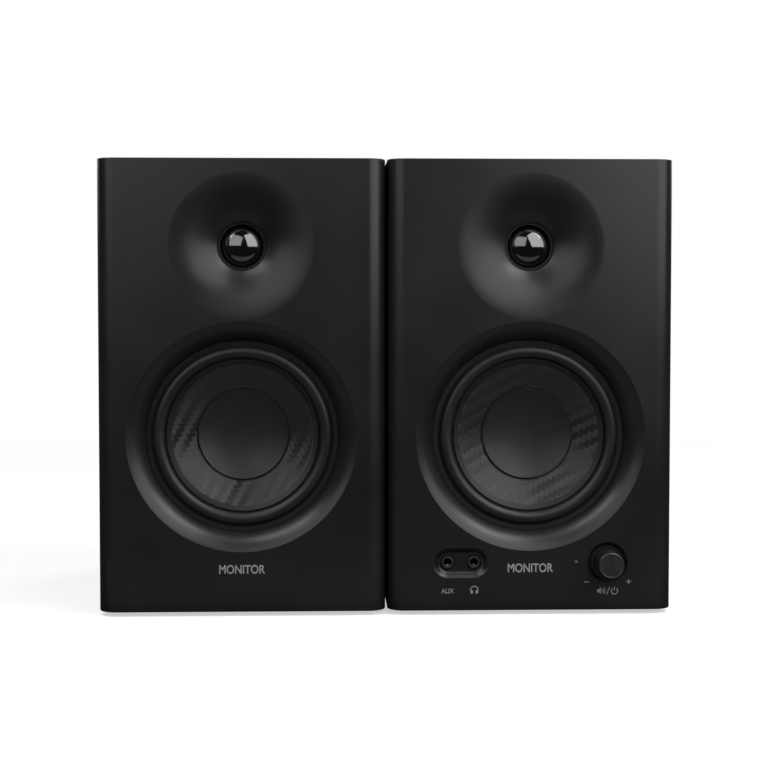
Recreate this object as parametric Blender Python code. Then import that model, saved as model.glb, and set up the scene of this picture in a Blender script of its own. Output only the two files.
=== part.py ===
"""A pair of two-way desktop monitor speakers: a passive one on the left and an active one on the right.

Metres, +Z up, fronts facing -Y, standing on Z = 0. The origin is at the middle of the pair's footprint.
Each speaker hangs from an empty on its own centre plane. Depths in front pieces are measured back from
the baffle's front face, depths in the woofer from WOOFER_DATUM, and depths in rear pieces out from the
cabinet's rear face.
"""

import math

import bmesh
import bpy
from mathutils import Matrix, Vector

# Overall size
CABINET_WIDTH = 0.1435
BODY_HEIGHT = 0.226
FOOT_HEIGHT = 0.002
OVERALL_DEPTH = 0.1975
KNOB_PROUD = 0.013
REAR_PROUD = 0.010
SPEAKER_GAP = 0.001

SPACING = CABINET_WIDTH + SPEAKER_GAP
BODY_TOP = FOOT_HEIGHT + BODY_HEIGHT
FRONT_Y = KNOB_PROUD - OVERALL_DEPTH / 2
BACK_Y = OVERALL_DEPTH / 2 - REAR_PROUD
BODY_DEPTH = BACK_Y - FRONT_Y

# Shell
FIT_GAP = 0.0003
BAFFLE_DEPTH = 0.013
BAFFLE_EDGE_RADIUS = 0.009
WALL = 0.009
OVERCUT = 0.001

# Tweeter and its waveguide
TWEETER_Z = BODY_TOP - 0.0432
WAVEGUIDE_RIM = 0.0368
RIM_ANGLE = math.radians(2)
THROAT_ANGLE = math.radians(38)
THROAT_RADIUS = 0.0124
DOME_RADIUS = 0.0102
DOME_EDGE = 0.011
DOME_HEIGHT = 0.0049
DOME_WALL = 0.0005

# Woofer and its recess
WOOFER_Z = BODY_TOP - 0.1384
WOOFER_DATUM = -0.002
RECESS_RIM = 0.0576
RECESS_RIM_ANGLE = math.radians(24)
RECESS_HOLE_ANGLE = math.radians(64)
WOOFER_HOLE = 0.0483
ROLL_CENTRE = 0.0421
ROLL_RADIUS = 0.0033
ROLL_DEPTH = 0.0127
RUBBER = 0.0007
CONE_WALL = 0.0009
CAP_RADIUS = 0.0227
CAP_EDGE = 0.0193
CAP_DISH = 0.0052
CAP_CURVE = 2.4
CAP_WALL = 0.0008

# Front controls, measured from the active speaker's centre plane
CONTROL_Z = 0.026
KNOB_X = 0.039
KNOB_RADIUS = 0.0065
KNOB_BACK = 0.0007
KNOB_RECESS_RADIUS = 0.0097
KNOB_RECESS_DEPTH = 0.0022
SHAFT_RADIUS = 0.003
BUSHING_RADIUS = 0.0043
JACK_XS = {"aux_jack": -0.0416, "headphone_jack": -0.0283}
JACK_RADIUS = 0.0033
JACK_RECESS_LENGTH = 0.0284
JACK_RECESS_HEIGHT = 0.0157
JACK_RECESS_DEPTH = 0.0025
LED_X = 0.0231
LED_RADIUS = 0.001

# Rear
PORT_Z = 0.191
PORT_HOLE = 0.021
PASSIVE_TERMINAL_Z = 0.080
PANEL_WIDTH = 0.118
PANEL_HEIGHT = 0.150
PANEL_THICKNESS = 0.002
PANEL_Z = 0.086
PANEL_LEDGE = 0.007
TONE_Z = PANEL_Z + 0.055
TONE_XS = {"treble_knob": -0.022, "bass_knob": 0.022}
BALANCED_Z = PANEL_Z + 0.026
BALANCED_XS = {"balanced_jack_left": -0.024, "balanced_jack_right": 0.024}
LINE_Z = PANEL_Z - 0.001
LINE_SOCKET_XS = (-0.014, 0.014)
SPEAKER_OUT_Z = PANEL_Z - 0.030
INLET_Z = PANEL_Z - 0.060
TERMINAL_WIDTH = 0.046
TERMINAL_HEIGHT = 0.030
TERMINAL_BOX_WIDTH = 0.040
TERMINAL_BOX_HEIGHT = 0.024
LEVER_XS = {"red": -0.011, "black": 0.011}
LEVER_WIDTH = 0.0084
LEVER_PIVOT = (-0.001, 0.0055)

# Facets round a full circle
LARGE = 32
MEDIUM = 24
SMALL = 14
TINY = 8

FINISHES = {
    "vinyl_wrap": ((0.012, 0.012, 0.013), 0.55, 0.0),
    "satin_black": ((0.014, 0.014, 0.015), 0.42, 0.0),
    "black_rubber": ((0.012, 0.012, 0.012), 0.6, 0.0),
    "woven_cone": ((0.02, 0.02, 0.021), 0.35, 0.0),
    "cap_plastic": ((0.013, 0.013, 0.014), 0.45, 0.0),
    "gloss_dome": ((0.006, 0.006, 0.007), 0.08, 0.0),
    "black_steel": ((0.02, 0.02, 0.021), 0.5, 0.4),
    "bare_steel": ((0.55, 0.56, 0.57), 0.35, 1.0),
    "ferrite": ((0.05, 0.05, 0.053), 0.7, 0.0),
    "coil_former": ((0.5, 0.3, 0.1), 0.4, 0.6),
    "spider_cloth": ((0.6, 0.42, 0.2), 0.9, 0.0),
    "circuit_board": ((0.02, 0.12, 0.05), 0.5, 0.0),
    "socket_plastic": ((0.015, 0.015, 0.015), 0.45, 0.0),
    "red_plastic": ((0.5, 0.01, 0.01), 0.35, 0.0),
    "black_plastic": ((0.015, 0.015, 0.016), 0.4, 0.0),
    "led_lens": ((0.03, 0.035, 0.04), 0.15, 0.0),
}


def clear_scene():
    for obj in list(bpy.data.objects):
        bpy.data.objects.remove(obj, do_unlink=True)


def finish(name):
    found = bpy.data.materials.get(name)
    if found:
        return found
    colour, roughness, metallic = FINISHES[name]
    made = bpy.data.materials.new(name)
    made.use_nodes = True
    shader = made.node_tree.nodes["Principled BSDF"]
    shader.inputs["Base Color"].default_value = (*colour, 1.0)
    shader.inputs["Roughness"].default_value = roughness
    shader.inputs["Metallic"].default_value = metallic
    return made


def add_object(name, bm, place, speaker, slot=None):
    """Links a bmesh as an object under the speaker's empty. With no slot it is a helper for a Boolean."""
    bmesh.ops.recalc_face_normals(bm, faces=bm.faces)
    mesh = bpy.data.meshes.new(name)
    bm.to_mesh(mesh)
    bm.free()
    mesh.shade_smooth()
    mesh.set_sharp_from_angle(angle=math.radians(35))
    obj = bpy.data.objects.new(name, mesh)
    bpy.context.scene.collection.objects.link(obj)
    obj.parent = speaker
    obj.location = place
    if slot:
        mesh.materials.append(finish(slot))
    else:
        obj.hide_render = True
        obj.display_type = "WIRE"
    return obj


def combine(target, helper, operation="DIFFERENCE"):
    modifier = target.modifiers.new(helper.name, "BOOLEAN")
    modifier.operation = operation
    modifier.solver = "EXACT"
    modifier.object = helper


def turned(profile, facets):
    """A solid turned about Y from (radius, depth) points: a ring, or a solid whose two ends are on the axis."""
    bm = bmesh.new()
    points = [bm.verts.new((radius, depth, 0.0)) for radius, depth in profile]
    pairs = list(zip(points, points[1:]))
    if profile[0][0] > 0:
        pairs.append((points[-1], points[0]))
    edges = [bm.edges.new(pair) for pair in pairs]
    bmesh.ops.spin(
        bm,
        geom=points + edges,
        cent=(0, 0, 0),
        axis=(0, 1, 0),
        angle=2 * math.pi,
        steps=facets,
        use_merge=True,
    )
    bmesh.ops.remove_doubles(bm, verts=bm.verts, dist=1e-7)
    return bm


def block(low, high):
    """A box between two corners."""
    low, high = Vector(low), Vector(high)
    bm = bmesh.new()
    bmesh.ops.create_cube(bm, size=1.0)
    bmesh.ops.scale(bm, vec=high - low, verts=bm.verts)
    bmesh.ops.translate(bm, vec=(low + high) / 2, verts=bm.verts)
    return bm


def centred_block(width, height, near, far):
    """A box centred on X and Z, from depth near to depth far."""
    return block((-width / 2, near, -height / 2), (width / 2, far, height / 2))


def extruded(outline, low, high, place_of):
    """A prism over a closed outline, where place_of(point, level) gives a corner."""
    bm = bmesh.new()
    face = bm.faces.new([bm.verts.new(place_of(point, low)) for point in outline])
    moved = bmesh.ops.extrude_face_region(bm, geom=[face])["geom"]
    span = Vector(place_of(outline[0], high)) - Vector(place_of(outline[0], low))
    bmesh.ops.translate(
        bm, vec=span, verts=[v for v in moved if isinstance(v, bmesh.types.BMVert)]
    )
    return bm


def arc(centre, radius, start, end, steps):
    """Points on a circle from one angle to another, both ends included."""
    angles = [start + (end - start) * i / steps for i in range(steps + 1)]
    return [(centre[0] + radius * math.cos(a), centre[1] + radius * math.sin(a)) for a in angles]


def stadium(length, height, steps):
    """A slot outline with round ends, centred on the origin."""
    radius = height / 2
    reach = length / 2 - radius
    right = arc((reach, 0), radius, -math.pi / 2, math.pi / 2, steps)
    left = arc((-reach, 0), radius, math.pi / 2, 3 * math.pi / 2, steps)
    return right + left


def slot_prism(length, height, near, far, steps):
    return extruded(
        stadium(length, height, steps), near, far, lambda p, level: (p[0], level, p[1])
    )


def steepening(rim, hole, start, end, steps):
    """(radius, depth) from a rim inwards along one arc, whose slope runs from the start to the end angle."""
    arc_radius = (rim - hole) / (math.sin(end) - math.sin(start))
    points = []
    for i in range(steps + 1):
        angle = start + (end - start) * i / steps
        radius = rim - arc_radius * (math.sin(angle) - math.sin(start))
        depth = arc_radius * (math.cos(start) - math.cos(angle))
        points.append((radius, depth))
    return points


def waveguide_points():
    return steepening(WAVEGUIDE_RIM, THROAT_RADIUS, RIM_ANGLE, THROAT_ANGLE, 6)


def recess_points():
    return steepening(RECESS_RIM, WOOFER_HOLE, RECESS_RIM_ANGLE, RECESS_HOLE_ANGLE, 5)


def bored(points, back):
    """Closes a bowl's points into a cutter that opens the front and runs on past depth back."""
    rim, throat = points[0][0], points[-1][0]
    return [(0, -OVERCUT), (rim, -OVERCUT), *points, (throat, back + OVERCUT), (0, back + OVERCUT)]


def baffle(prefix, speaker):
    half = CABINET_WIDTH / 2
    edge = BAFFLE_EDGE_RADIUS
    left = arc((edge - half, edge), edge, math.pi, 3 * math.pi / 2, 5)
    right = arc((half - edge, edge), edge, 3 * math.pi / 2, 2 * math.pi, 5)
    outline = [(-half, BAFFLE_DEPTH), *left, *right, (half, BAFFLE_DEPTH)]
    plate = extruded(outline, FOOT_HEIGHT, BODY_TOP, lambda p, level: (p[0], p[1], level))
    body = add_object(f"{prefix}_front_baffle", plate, (0, FRONT_Y, 0), speaker, "satin_black")
    tweeter = (0, FRONT_Y, TWEETER_Z)
    woofer = (0, FRONT_Y, WOOFER_Z)
    bowl = turned(bored(waveguide_points(), BAFFLE_DEPTH), LARGE)
    combine(body, add_object(f"{prefix}_waveguide_cutter", bowl, tweeter, speaker))
    recess = turned(bored(recess_points(), BAFFLE_DEPTH), LARGE)
    combine(body, add_object(f"{prefix}_recess_cutter", recess, woofer, speaker))
    return body


def control_cutouts(body, speaker):
    """The dished knob recess, the jack recess and the holes of the active speaker's controls."""
    row = (0, FRONT_Y, CONTROL_Z)
    knob = (KNOB_X, FRONT_Y, CONTROL_Z)
    hole = BUSHING_RADIUS + FIT_GAP
    floor = KNOB_RECESS_RADIUS - KNOB_RECESS_DEPTH / 2
    through = BAFFLE_DEPTH + OVERCUT
    dish = [
        (0, -OVERCUT),
        (KNOB_RECESS_RADIUS, -OVERCUT),
        (KNOB_RECESS_RADIUS, 0),
        (floor, KNOB_RECESS_DEPTH),
        (hole, KNOB_RECESS_DEPTH),
        (hole, through),
        (0, through),
    ]
    combine(body, add_object("knob_recess_cutter", turned(dish, MEDIUM), knob, speaker))
    middle = sum(JACK_XS.values()) / len(JACK_XS)
    pocket = slot_prism(JACK_RECESS_LENGTH, JACK_RECESS_HEIGHT, -OVERCUT, JACK_RECESS_DEPTH, 8)
    place = (middle, FRONT_Y, CONTROL_Z)
    combine(body, add_object("jack_recess_cutter", pocket, place, speaker))
    holes = [(x, JACK_RADIUS + FIT_GAP) for x in JACK_XS.values()]
    holes.append((LED_X, LED_RADIUS + FIT_GAP))
    for index, (x, radius) in enumerate(holes):
        bore = [(0, -OVERCUT), (radius, -OVERCUT), (radius, through), (0, through)]
        place = Vector(row) + Vector((x, 0, 0))
        combine(body, add_object(f"front_bore_{index}_cutter", turned(bore, SMALL), place, speaker))


def cabinet(prefix, speaker):
    """A box of board, open at the front, where the baffle closes it."""
    half = CABINET_WIDTH / 2
    front = FRONT_Y + BAFFLE_DEPTH + FIT_GAP
    shell = block((-half, front, FOOT_HEIGHT), (half, BACK_Y, BODY_TOP))
    body = add_object(f"{prefix}_cabinet", shell, (0, 0, 0), speaker, "vinyl_wrap")
    low = (WALL - half, front - OVERCUT, FOOT_HEIGHT + WALL)
    hollow = block(low, (half - WALL, BACK_Y - WALL, BODY_TOP - WALL))
    combine(body, add_object(f"{prefix}_hollow_cutter", hollow, (0, 0, 0), speaker))
    near = -WALL - OVERCUT
    hole = [(0, near), (PORT_HOLE, near), (PORT_HOLE, OVERCUT), (0, OVERCUT)]
    place = (0, BACK_Y, PORT_Z)
    combine(body, add_object(f"{prefix}_port_cutter", turned(hole, MEDIUM), place, speaker))
    return body


def terminal_cutout(body, place, speaker):
    width = TERMINAL_BOX_WIDTH + 2 * FIT_GAP
    height = TERMINAL_BOX_HEIGHT + 2 * FIT_GAP
    window = centred_block(width, height, -WALL - OVERCUT, OVERCUT)
    combine(body, add_object(f"{body.name}_terminal_cutter", window, place, speaker))


def panel_cutouts(body, speaker):
    """The rebate that takes the rear panel, and the window behind it."""
    place = (0, BACK_Y, PANEL_Z)
    rebate = centred_block(
        PANEL_WIDTH + 2 * FIT_GAP,
        PANEL_HEIGHT + 2 * FIT_GAP,
        -PANEL_THICKNESS - FIT_GAP,
        OVERCUT,
    )
    combine(body, add_object("rebate_cutter", rebate, place, speaker))
    window = centred_block(
        PANEL_WIDTH - 2 * PANEL_LEDGE,
        PANEL_HEIGHT - 2 * PANEL_LEDGE,
        -WALL - OVERCUT,
        OVERCUT,
    )
    combine(body, add_object("window_cutter", window, place, speaker))


def surround_points():
    """The half roll, from its outer lip over the crown to the inner lip under the cone's edge."""
    centre = (ROLL_CENTRE, ROLL_DEPTH)
    outer = arc(centre, ROLL_RADIUS, 0, -math.pi, 5)
    inner = arc(centre, ROLL_RADIUS - RUBBER, -math.pi, 0, 5)
    lip_out = 0.0457
    lip_in = 0.037
    return [
        (lip_out, ROLL_DEPTH),
        *outer,
        (ROLL_CENTRE - ROLL_RADIUS, 0.0137),
        (lip_in, 0.0137),
        (lip_in, 0.0143),
        (ROLL_CENTRE - ROLL_RADIUS + RUBBER, 0.0143),
        *inner,
        (ROLL_CENTRE + ROLL_RADIUS - RUBBER, ROLL_DEPTH + RUBBER - 0.0001),
        (lip_out, ROLL_DEPTH + RUBBER - 0.0001),
    ]


def cone_points():
    front = [(0.0381, 0.0124), (0.0356, 0.0129), (0.0234, 0.020), (0.0136, 0.0255)]
    back = [(radius, depth + CONE_WALL) for radius, depth in reversed(front)]
    return front + back


def dust_cap_points():
    """A shallow dish, hollow towards the front."""
    steps = 4
    radii = [CAP_RADIUS * i / steps for i in range(steps + 1)]
    front = [(r, CAP_EDGE + CAP_DISH * (1 - (r / CAP_RADIUS) ** CAP_CURVE)) for r in radii]
    back = [(radius, depth + CAP_WALL) for radius, depth in reversed(front)]
    return front + back


def spider_points():
    """A corrugated cloth ring between the coil former and the frame."""
    steps = 6
    inner, outer, depth, wave, cloth = 0.0136, 0.0322, 0.0277, 0.0005, 0.0005
    front = []
    for i in range(steps + 1):
        radius = inner + (outer - inner) * i / steps
        front.append((radius, depth + (wave if i % 2 else -wave)))
    return front + [(radius, y + cloth) for radius, y in reversed(front)]


def basket(prefix, place, speaker):
    """The pressed steel frame, with four windows behind the cone."""
    profile = [
        (0.055, 0.0153),
        (0.048, 0.0153),
        (0.048, 0.0136),
        (0.0444, 0.0136),
        (0.0432, 0.017),
        (0.033, 0.0292),
        (0.029, 0.0292),
        (0.029, 0.0308),
        (0.033, 0.0308),
        (0.033, 0.0332),
        (0.015, 0.0332),
        (0.015, 0.035),
        (0.035, 0.035),
        (0.035, 0.0298),
        (0.0452, 0.0176),
        (0.055, 0.0176),
    ]
    name = f"{prefix}_woofer_basket"
    body = add_object(name, turned(profile, MEDIUM), place, speaker, "black_steel")
    for index, turn in enumerate((0.25, 0.75)):
        window = block((-0.06, 0.0195, -0.011), (0.06, 0.0275, 0.011))
        bmesh.ops.rotate(window, verts=window.verts, matrix=Matrix.Rotation(turn * math.pi, 3, "Y"))
        combine(body, add_object(f"{name}_window_{index}", window, place, speaker))


def woofer(prefix, speaker):
    place = (0, FRONT_Y + WOOFER_DATUM, WOOFER_Z)
    trim = [(0.046, 0.0128), (0.048, 0.0126), (0.048, 0.0133), (0.046, 0.0133)]
    former = [(0.0126, 0.025), (0.0132, 0.025), (0.0132, 0.041), (0.0126, 0.041)]
    magnet = [(0.017, 0.0353), (0.038, 0.0353), (0.038, 0.052), (0.017, 0.052)]
    yoke = [(0, 0.034), (0.0122, 0.034), (0.0122, 0.0523), (0.036, 0.0523), (0.036, 0.057), (0, 0.057)]
    pieces = (
        ("trim_ring", trim, MEDIUM, "satin_black"),
        ("surround", surround_points(), MEDIUM, "black_rubber"),
        ("cone", cone_points(), LARGE, "woven_cone"),
        ("dust_cap", dust_cap_points(), MEDIUM, "cap_plastic"),
        ("voice_coil", former, MEDIUM, "coil_former"),
        ("spider", spider_points(), SMALL, "spider_cloth"),
        ("magnet", magnet, MEDIUM, "ferrite"),
        ("yoke", yoke, MEDIUM, "bare_steel"),
    )
    for piece, profile, facets, slot in pieces:
        add_object(f"{prefix}_woofer_{piece}", turned(profile, facets), place, speaker, slot)
    basket(prefix, place, speaker)


def dome_points():
    """A spherical cap over a short coil former, open at the back."""
    ball = (DOME_RADIUS**2 + DOME_HEIGHT**2) / (2 * DOME_HEIGHT)
    centre = (0, DOME_EDGE - DOME_HEIGHT + ball)
    spread = math.asin(DOME_RADIUS / ball)
    back = 0.024
    outer = arc(centre, ball, -math.pi / 2, spread - math.pi / 2, 4)
    inner = arc(centre, ball - DOME_WALL, spread - math.pi / 2, -math.pi / 2, 4)
    outer[0] = (0, outer[0][1])
    inner[-1] = (0, inner[-1][1])
    return [*outer, (DOME_RADIUS, back), (inner[0][0], back), *inner]


def tweeter(prefix, speaker):
    place = (0, FRONT_Y, TWEETER_Z)
    collar = THROAT_RADIUS - FIT_GAP
    seat = BAFFLE_DEPTH + FIT_GAP
    flange = [
        (collar, 0.0094),
        (0.0114, 0.0108),
        (0.0102, 0.0108),
        (0.0106, 0.0112),
        (0.0106, 0.0218),
        (0.022, 0.0218),
        (0.022, seat),
        (collar, seat),
    ]
    magnet = [(0, 0.0255), (0.011, 0.0255), (0.011, 0.0221), (0.018, 0.0221), (0.018, 0.036), (0, 0.036)]
    pieces = (
        ("flange", flange, SMALL, "satin_black"),
        ("dome", dome_points(), SMALL, "gloss_dome"),
        ("magnet", magnet, SMALL, "ferrite"),
    )
    for piece, profile, facets, slot in pieces:
        add_object(f"{prefix}_tweeter_{piece}", turned(profile, facets), place, speaker, slot)


def port(prefix, speaker):
    """A reflex tube with a flared mouth and a flange on the rear wall."""
    inner_end = -0.070
    profile = [
        (0.015, inner_end),
        (0.015, -0.014),
        (0.0156, -0.009),
        (0.017, -0.004),
        (0.0195, 0),
        (0.022, 0.0015),
        (0.025, 0.0013),
        (0.025, FIT_GAP),
        (0.0207, FIT_GAP),
        (0.0207, -0.003),
        (0.0173, -0.010),
        (0.0173, inner_end),
    ]
    place = (0, BACK_Y, PORT_Z)
    add_object(f"{prefix}_port_tube", turned(profile, MEDIUM), place, speaker, "black_plastic")


def feet(prefix, speaker):
    inset = 0.016
    x_reach = CABINET_WIDTH / 2 - inset
    y_reach = BODY_DEPTH / 2 - BAFFLE_DEPTH - inset
    middle_y = (FRONT_Y + BACK_Y) / 2
    rows = {"front": middle_y - y_reach, "rear": middle_y + y_reach}
    columns = {"left": -x_reach, "right": x_reach}
    height = FOOT_HEIGHT - FIT_GAP
    for row, y in rows.items():
        for column, x in columns.items():
            bm = bmesh.new()
            bmesh.ops.create_cone(
                bm,
                cap_ends=True,
                segments=TINY,
                radius1=0.006,
                radius2=0.0068,
                depth=height,
            )
            name = f"{prefix}_foot_{row}_{column}"
            add_object(name, bm, (x, y, height / 2), speaker, "black_rubber")


def terminal(prefix, z, speaker):
    """A spring-clip terminal: a moulded cup, a red and a black lever, and a wire hole under each."""
    place = Vector((0, BACK_Y, z))
    plate = centred_block(TERMINAL_WIDTH, TERMINAL_HEIGHT, FIT_GAP, 0.0023)
    cup = add_object(f"{prefix}_terminal_cup", plate, place, speaker, "socket_plastic")
    box = centred_block(TERMINAL_BOX_WIDTH, TERMINAL_BOX_HEIGHT, -0.014, 0.001)
    combine(cup, add_object(f"{prefix}_terminal_box_helper", box, place, speaker), "UNION")
    for colour, x in LEVER_XS.items():
        pocket = block((x - 0.0048, -0.0095, -0.0085), (x + 0.0048, 0.004, 0.009))
        name = f"{prefix}_{colour}_pocket_cutter"
        combine(cup, add_object(name, pocket, place, speaker))
        wire = turned([(0, -0.008), (0.0012, -0.008), (0.0012, 0.004), (0, 0.004)], TINY)
        wire_place = place + Vector((x, 0, -0.0102))
        combine(cup, add_object(f"{prefix}_{colour}_wire_cutter", wire, wire_place, speaker))
        lever(f"{prefix}_terminal_lever_{colour}", x, place, f"{colour}_plastic", speaker)


def lever(name, x, terminal_place, slot, speaker):
    """A wedge-shaped tab that turns about a line through its upper end."""
    side = [
        (-0.002, 0.0073),
        (0.0015, 0.0073),
        (0.0022, 0.005),
        (0.0044, -0.004),
        (0.0044, -0.007),
        (0.001, -0.007),
        (-0.002, 0.003),
    ]
    outline = [(y - LEVER_PIVOT[0], z - LEVER_PIVOT[1]) for y, z in side]
    half = LEVER_WIDTH / 2
    tab = extruded(outline, -half, half, lambda p, level: (level, p[0], p[1]))
    place = terminal_place + Vector((x, *LEVER_PIVOT))
    add_object(name, tab, place, speaker, slot)


def knob_and_encoder(speaker):
    place = (KNOB_X, FRONT_Y, CONTROL_Z)
    bore = SHAFT_RADIUS + FIT_GAP
    cap = [
        (0, -KNOB_PROUD),
        (KNOB_RADIUS - 0.0006, -KNOB_PROUD),
        (KNOB_RADIUS, 0.0006 - KNOB_PROUD),
        (KNOB_RADIUS, KNOB_BACK),
        (bore, KNOB_BACK),
        (bore, -0.0085),
        (0, -0.0085),
    ]
    shaft = [(0, -0.0082), (SHAFT_RADIUS, -0.0082), (SHAFT_RADIUS, 0.0178), (0, 0.0178)]
    plunger = [(0, 0.0181), (0.0039, 0.0181), (0.0039, 0.0205), (0, 0.0205)]
    add_object("volume_knob", turned(cap, MEDIUM), place, speaker, "satin_black")
    add_object("encoder_shaft", turned(shaft, SMALL), place, speaker, "bare_steel")
    add_object("encoder_plunger", turned(plunger, SMALL), place, speaker, "black_plastic")
    rear = BAFFLE_DEPTH + FIT_GAP
    housing = centred_block(0.0125, 0.0125, rear, rear + 0.0075)
    body = add_object("encoder_body", housing, place, speaker, "bare_steel")
    bushing = [(0, 0.003), (BUSHING_RADIUS, 0.003), (BUSHING_RADIUS, rear + 0.001), (0, rear + 0.001)]
    bushing = add_object("bushing_helper", turned(bushing, SMALL), place, speaker)
    combine(body, bushing, "UNION")
    wide = 0.0039 + FIT_GAP
    inside = [(0, 0.002), (bore, 0.002), (bore, 0.017), (wide, 0.017), (wide, 0.024), (0, 0.024)]
    combine(body, add_object("encoder_bore_cutter", turned(inside, SMALL), place, speaker))


def front_jacks(speaker):
    """Two 3.5 mm sockets: a bushing in the recess and a moulded body behind the baffle."""
    rear = BAFFLE_DEPTH + FIT_GAP
    lip = JACK_RECESS_DEPTH - 0.0008
    for name, x in JACK_XS.items():
        place = (x, FRONT_Y, CONTROL_Z)
        body = centred_block(0.009, 0.010, rear, rear + 0.012)
        jack = add_object(name, body, place, speaker, "socket_plastic")
        tube = [(0, lip), (JACK_RADIUS, lip), (JACK_RADIUS, rear + 0.001), (0, rear + 0.001)]
        tube = add_object(f"{name}_helper", turned(tube, SMALL), place, speaker)
        combine(jack, tube, "UNION")
        hole = [(0, 0), (0.0018, 0), (0.0018, rear + 0.009), (0, rear + 0.009)]
        combine(jack, add_object(f"{name}_cutter", turned(hole, TINY), place, speaker))


def led(speaker):
    lens = [(0, -0.0002), (LED_RADIUS, 0), (LED_RADIUS, 0.012), (0, 0.012)]
    place = (LED_X, FRONT_Y, CONTROL_Z)
    add_object("status_led", turned(lens, TINY), place, speaker, "led_lens")


def rear_panel(speaker):
    place = Vector((0, BACK_Y, PANEL_Z))
    plate = centred_block(PANEL_WIDTH, PANEL_HEIGHT, -PANEL_THICKNESS, 0)
    panel = add_object("rear_panel", plate, place, speaker, "black_steel")
    rounds = [(x, TONE_Z, 0.0032) for x in TONE_XS.values()]
    rounds += [(x, BALANCED_Z, 0.0059) for x in BALANCED_XS.values()]
    rounds += [(x, LINE_Z, 0.0045) for x in LINE_SOCKET_XS]
    for index, (x, z, radius) in enumerate(rounds):
        hole = [(0, -0.004), (radius, -0.004), (radius, OVERCUT), (0, OVERCUT)]
        spot = (x, BACK_Y, z)
        combine(panel, add_object(f"panel_hole_{index}_cutter", turned(hole, SMALL), spot, speaker))
    inlet = centred_block(0.0206, 0.0126, -0.004, OVERCUT)
    inlet_place = (0, BACK_Y, INLET_Z)
    combine(panel, add_object("inlet_window_cutter", inlet, inlet_place, speaker))
    terminal_cutout(panel, (0, BACK_Y, SPEAKER_OUT_Z), speaker)


def tone_knobs(speaker):
    """Treble and bass: each a knob moulded on its own spindle."""
    profile = [
        (0, REAR_PROUD),
        (0.0058, REAR_PROUD),
        (0.0064, REAR_PROUD - 0.0006),
        (0.0068, 0.0012),
        (0.0025, 0.0012),
        (0.0025, -0.010),
        (0, -0.010),
    ]
    for name, x in TONE_XS.items():
        knob = turned(profile, SMALL)
        add_object(name, knob, (x, BACK_Y, TONE_Z), speaker, "black_plastic")


def balanced_jacks(speaker):
    """Two 6.35 mm sockets: a body behind the panel, a threaded bushing through it and a nut outside."""
    for name, x in BALANCED_XS.items():
        place = (x, BACK_Y, BALANCED_Z)
        behind = -PANEL_THICKNESS - FIT_GAP
        jack = add_object(
            name, centred_block(0.016, 0.016, -0.026, behind), place, speaker, "socket_plastic"
        )
        tube = [(0, behind - 0.001), (0.0055, behind - 0.001), (0.0055, 0.0034), (0, 0.0034)]
        tube = add_object(f"{name}_bushing_helper", turned(tube, SMALL), place, speaker)
        combine(jack, tube, "UNION")
        nut = turned([(0, FIT_GAP), (0.0075, FIT_GAP), (0.0075, 0.0024), (0, 0.0024)], 6)
        combine(jack, add_object(f"{name}_nut_helper", nut, place, speaker), "UNION")
        hole = turned([(0, -0.023), (0.0034, -0.023), (0.0034, 0.005), (0, 0.005)], SMALL)
        combine(jack, add_object(f"{name}_cutter", hole, place, speaker))


def line_sockets(speaker):
    """Two phono sockets on one moulded block."""
    place = Vector((0, BACK_Y, LINE_Z))
    behind = -PANEL_THICKNESS - FIT_GAP
    body = centred_block(0.040, 0.016, -0.015, behind)
    sockets = add_object("line_input_block", body, place, speaker, "socket_plastic")
    for index, x in enumerate(LINE_SOCKET_XS):
        spot = place + Vector((x, 0, 0))
        shell = turned([(0, -0.004), (0.0041, -0.004), (0.0041, 0.008), (0, 0.008)], SMALL)
        combine(sockets, add_object(f"phono_{index}_helper", shell, spot, speaker), "UNION")
        hole = turned([(0, -0.008), (0.0016, -0.008), (0.0016, 0.009), (0, 0.009)], TINY)
        combine(sockets, add_object(f"phono_{index}_cutter", hole, spot, speaker))


def power_inlet(speaker):
    """A figure-8 mains inlet: a flange, a body, a rounded socket and two pins in it."""
    place = Vector((0, BACK_Y, INLET_Z))
    flange = centred_block(0.030, 0.0165, FIT_GAP, 0.0023)
    inlet = add_object("power_inlet", flange, place, speaker, "socket_plastic")
    body = centred_block(0.020, 0.012, -0.018, 0.001)
    combine(inlet, add_object("inlet_body_helper", body, place, speaker), "UNION")
    socket = slot_prism(0.0155, 0.0084, -0.010, 0.004, 5)
    combine(inlet, add_object("inlet_socket_cutter", socket, place, speaker))
    for index, x in enumerate((-0.0043, 0.0043)):
        pin = turned([(0, -0.011), (0.0012, -0.011), (0.0012, -0.001), (0, -0.001)], TINY)
        spot = place + Vector((x, 0, 0))
        combine(inlet, add_object(f"inlet_pin_{index}_helper", pin, spot, speaker), "UNION")


def board(name, width, height, place, parts, speaker):
    """A circuit board facing the cabinet's inside, with its largest parts soldered on."""
    thickness = 0.0016
    plate = centred_block(width, height, -thickness, 0)
    body = add_object(name, plate, place, speaker, "circuit_board")
    for index, (x, z, sizes) in enumerate(parts):
        spot = Vector(place) + Vector((x, 0, z))
        if len(sizes) == 2:
            radius, reach = sizes
            part = turned([(0, -0.001), (radius, -0.001), (radius, -reach), (0, -reach)], SMALL)
        else:
            part = centred_block(sizes[0], sizes[1], -sizes[2], -0.001)
        combine(body, add_object(f"{name}_part_{index}_helper", part, spot, speaker), "UNION")


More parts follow.
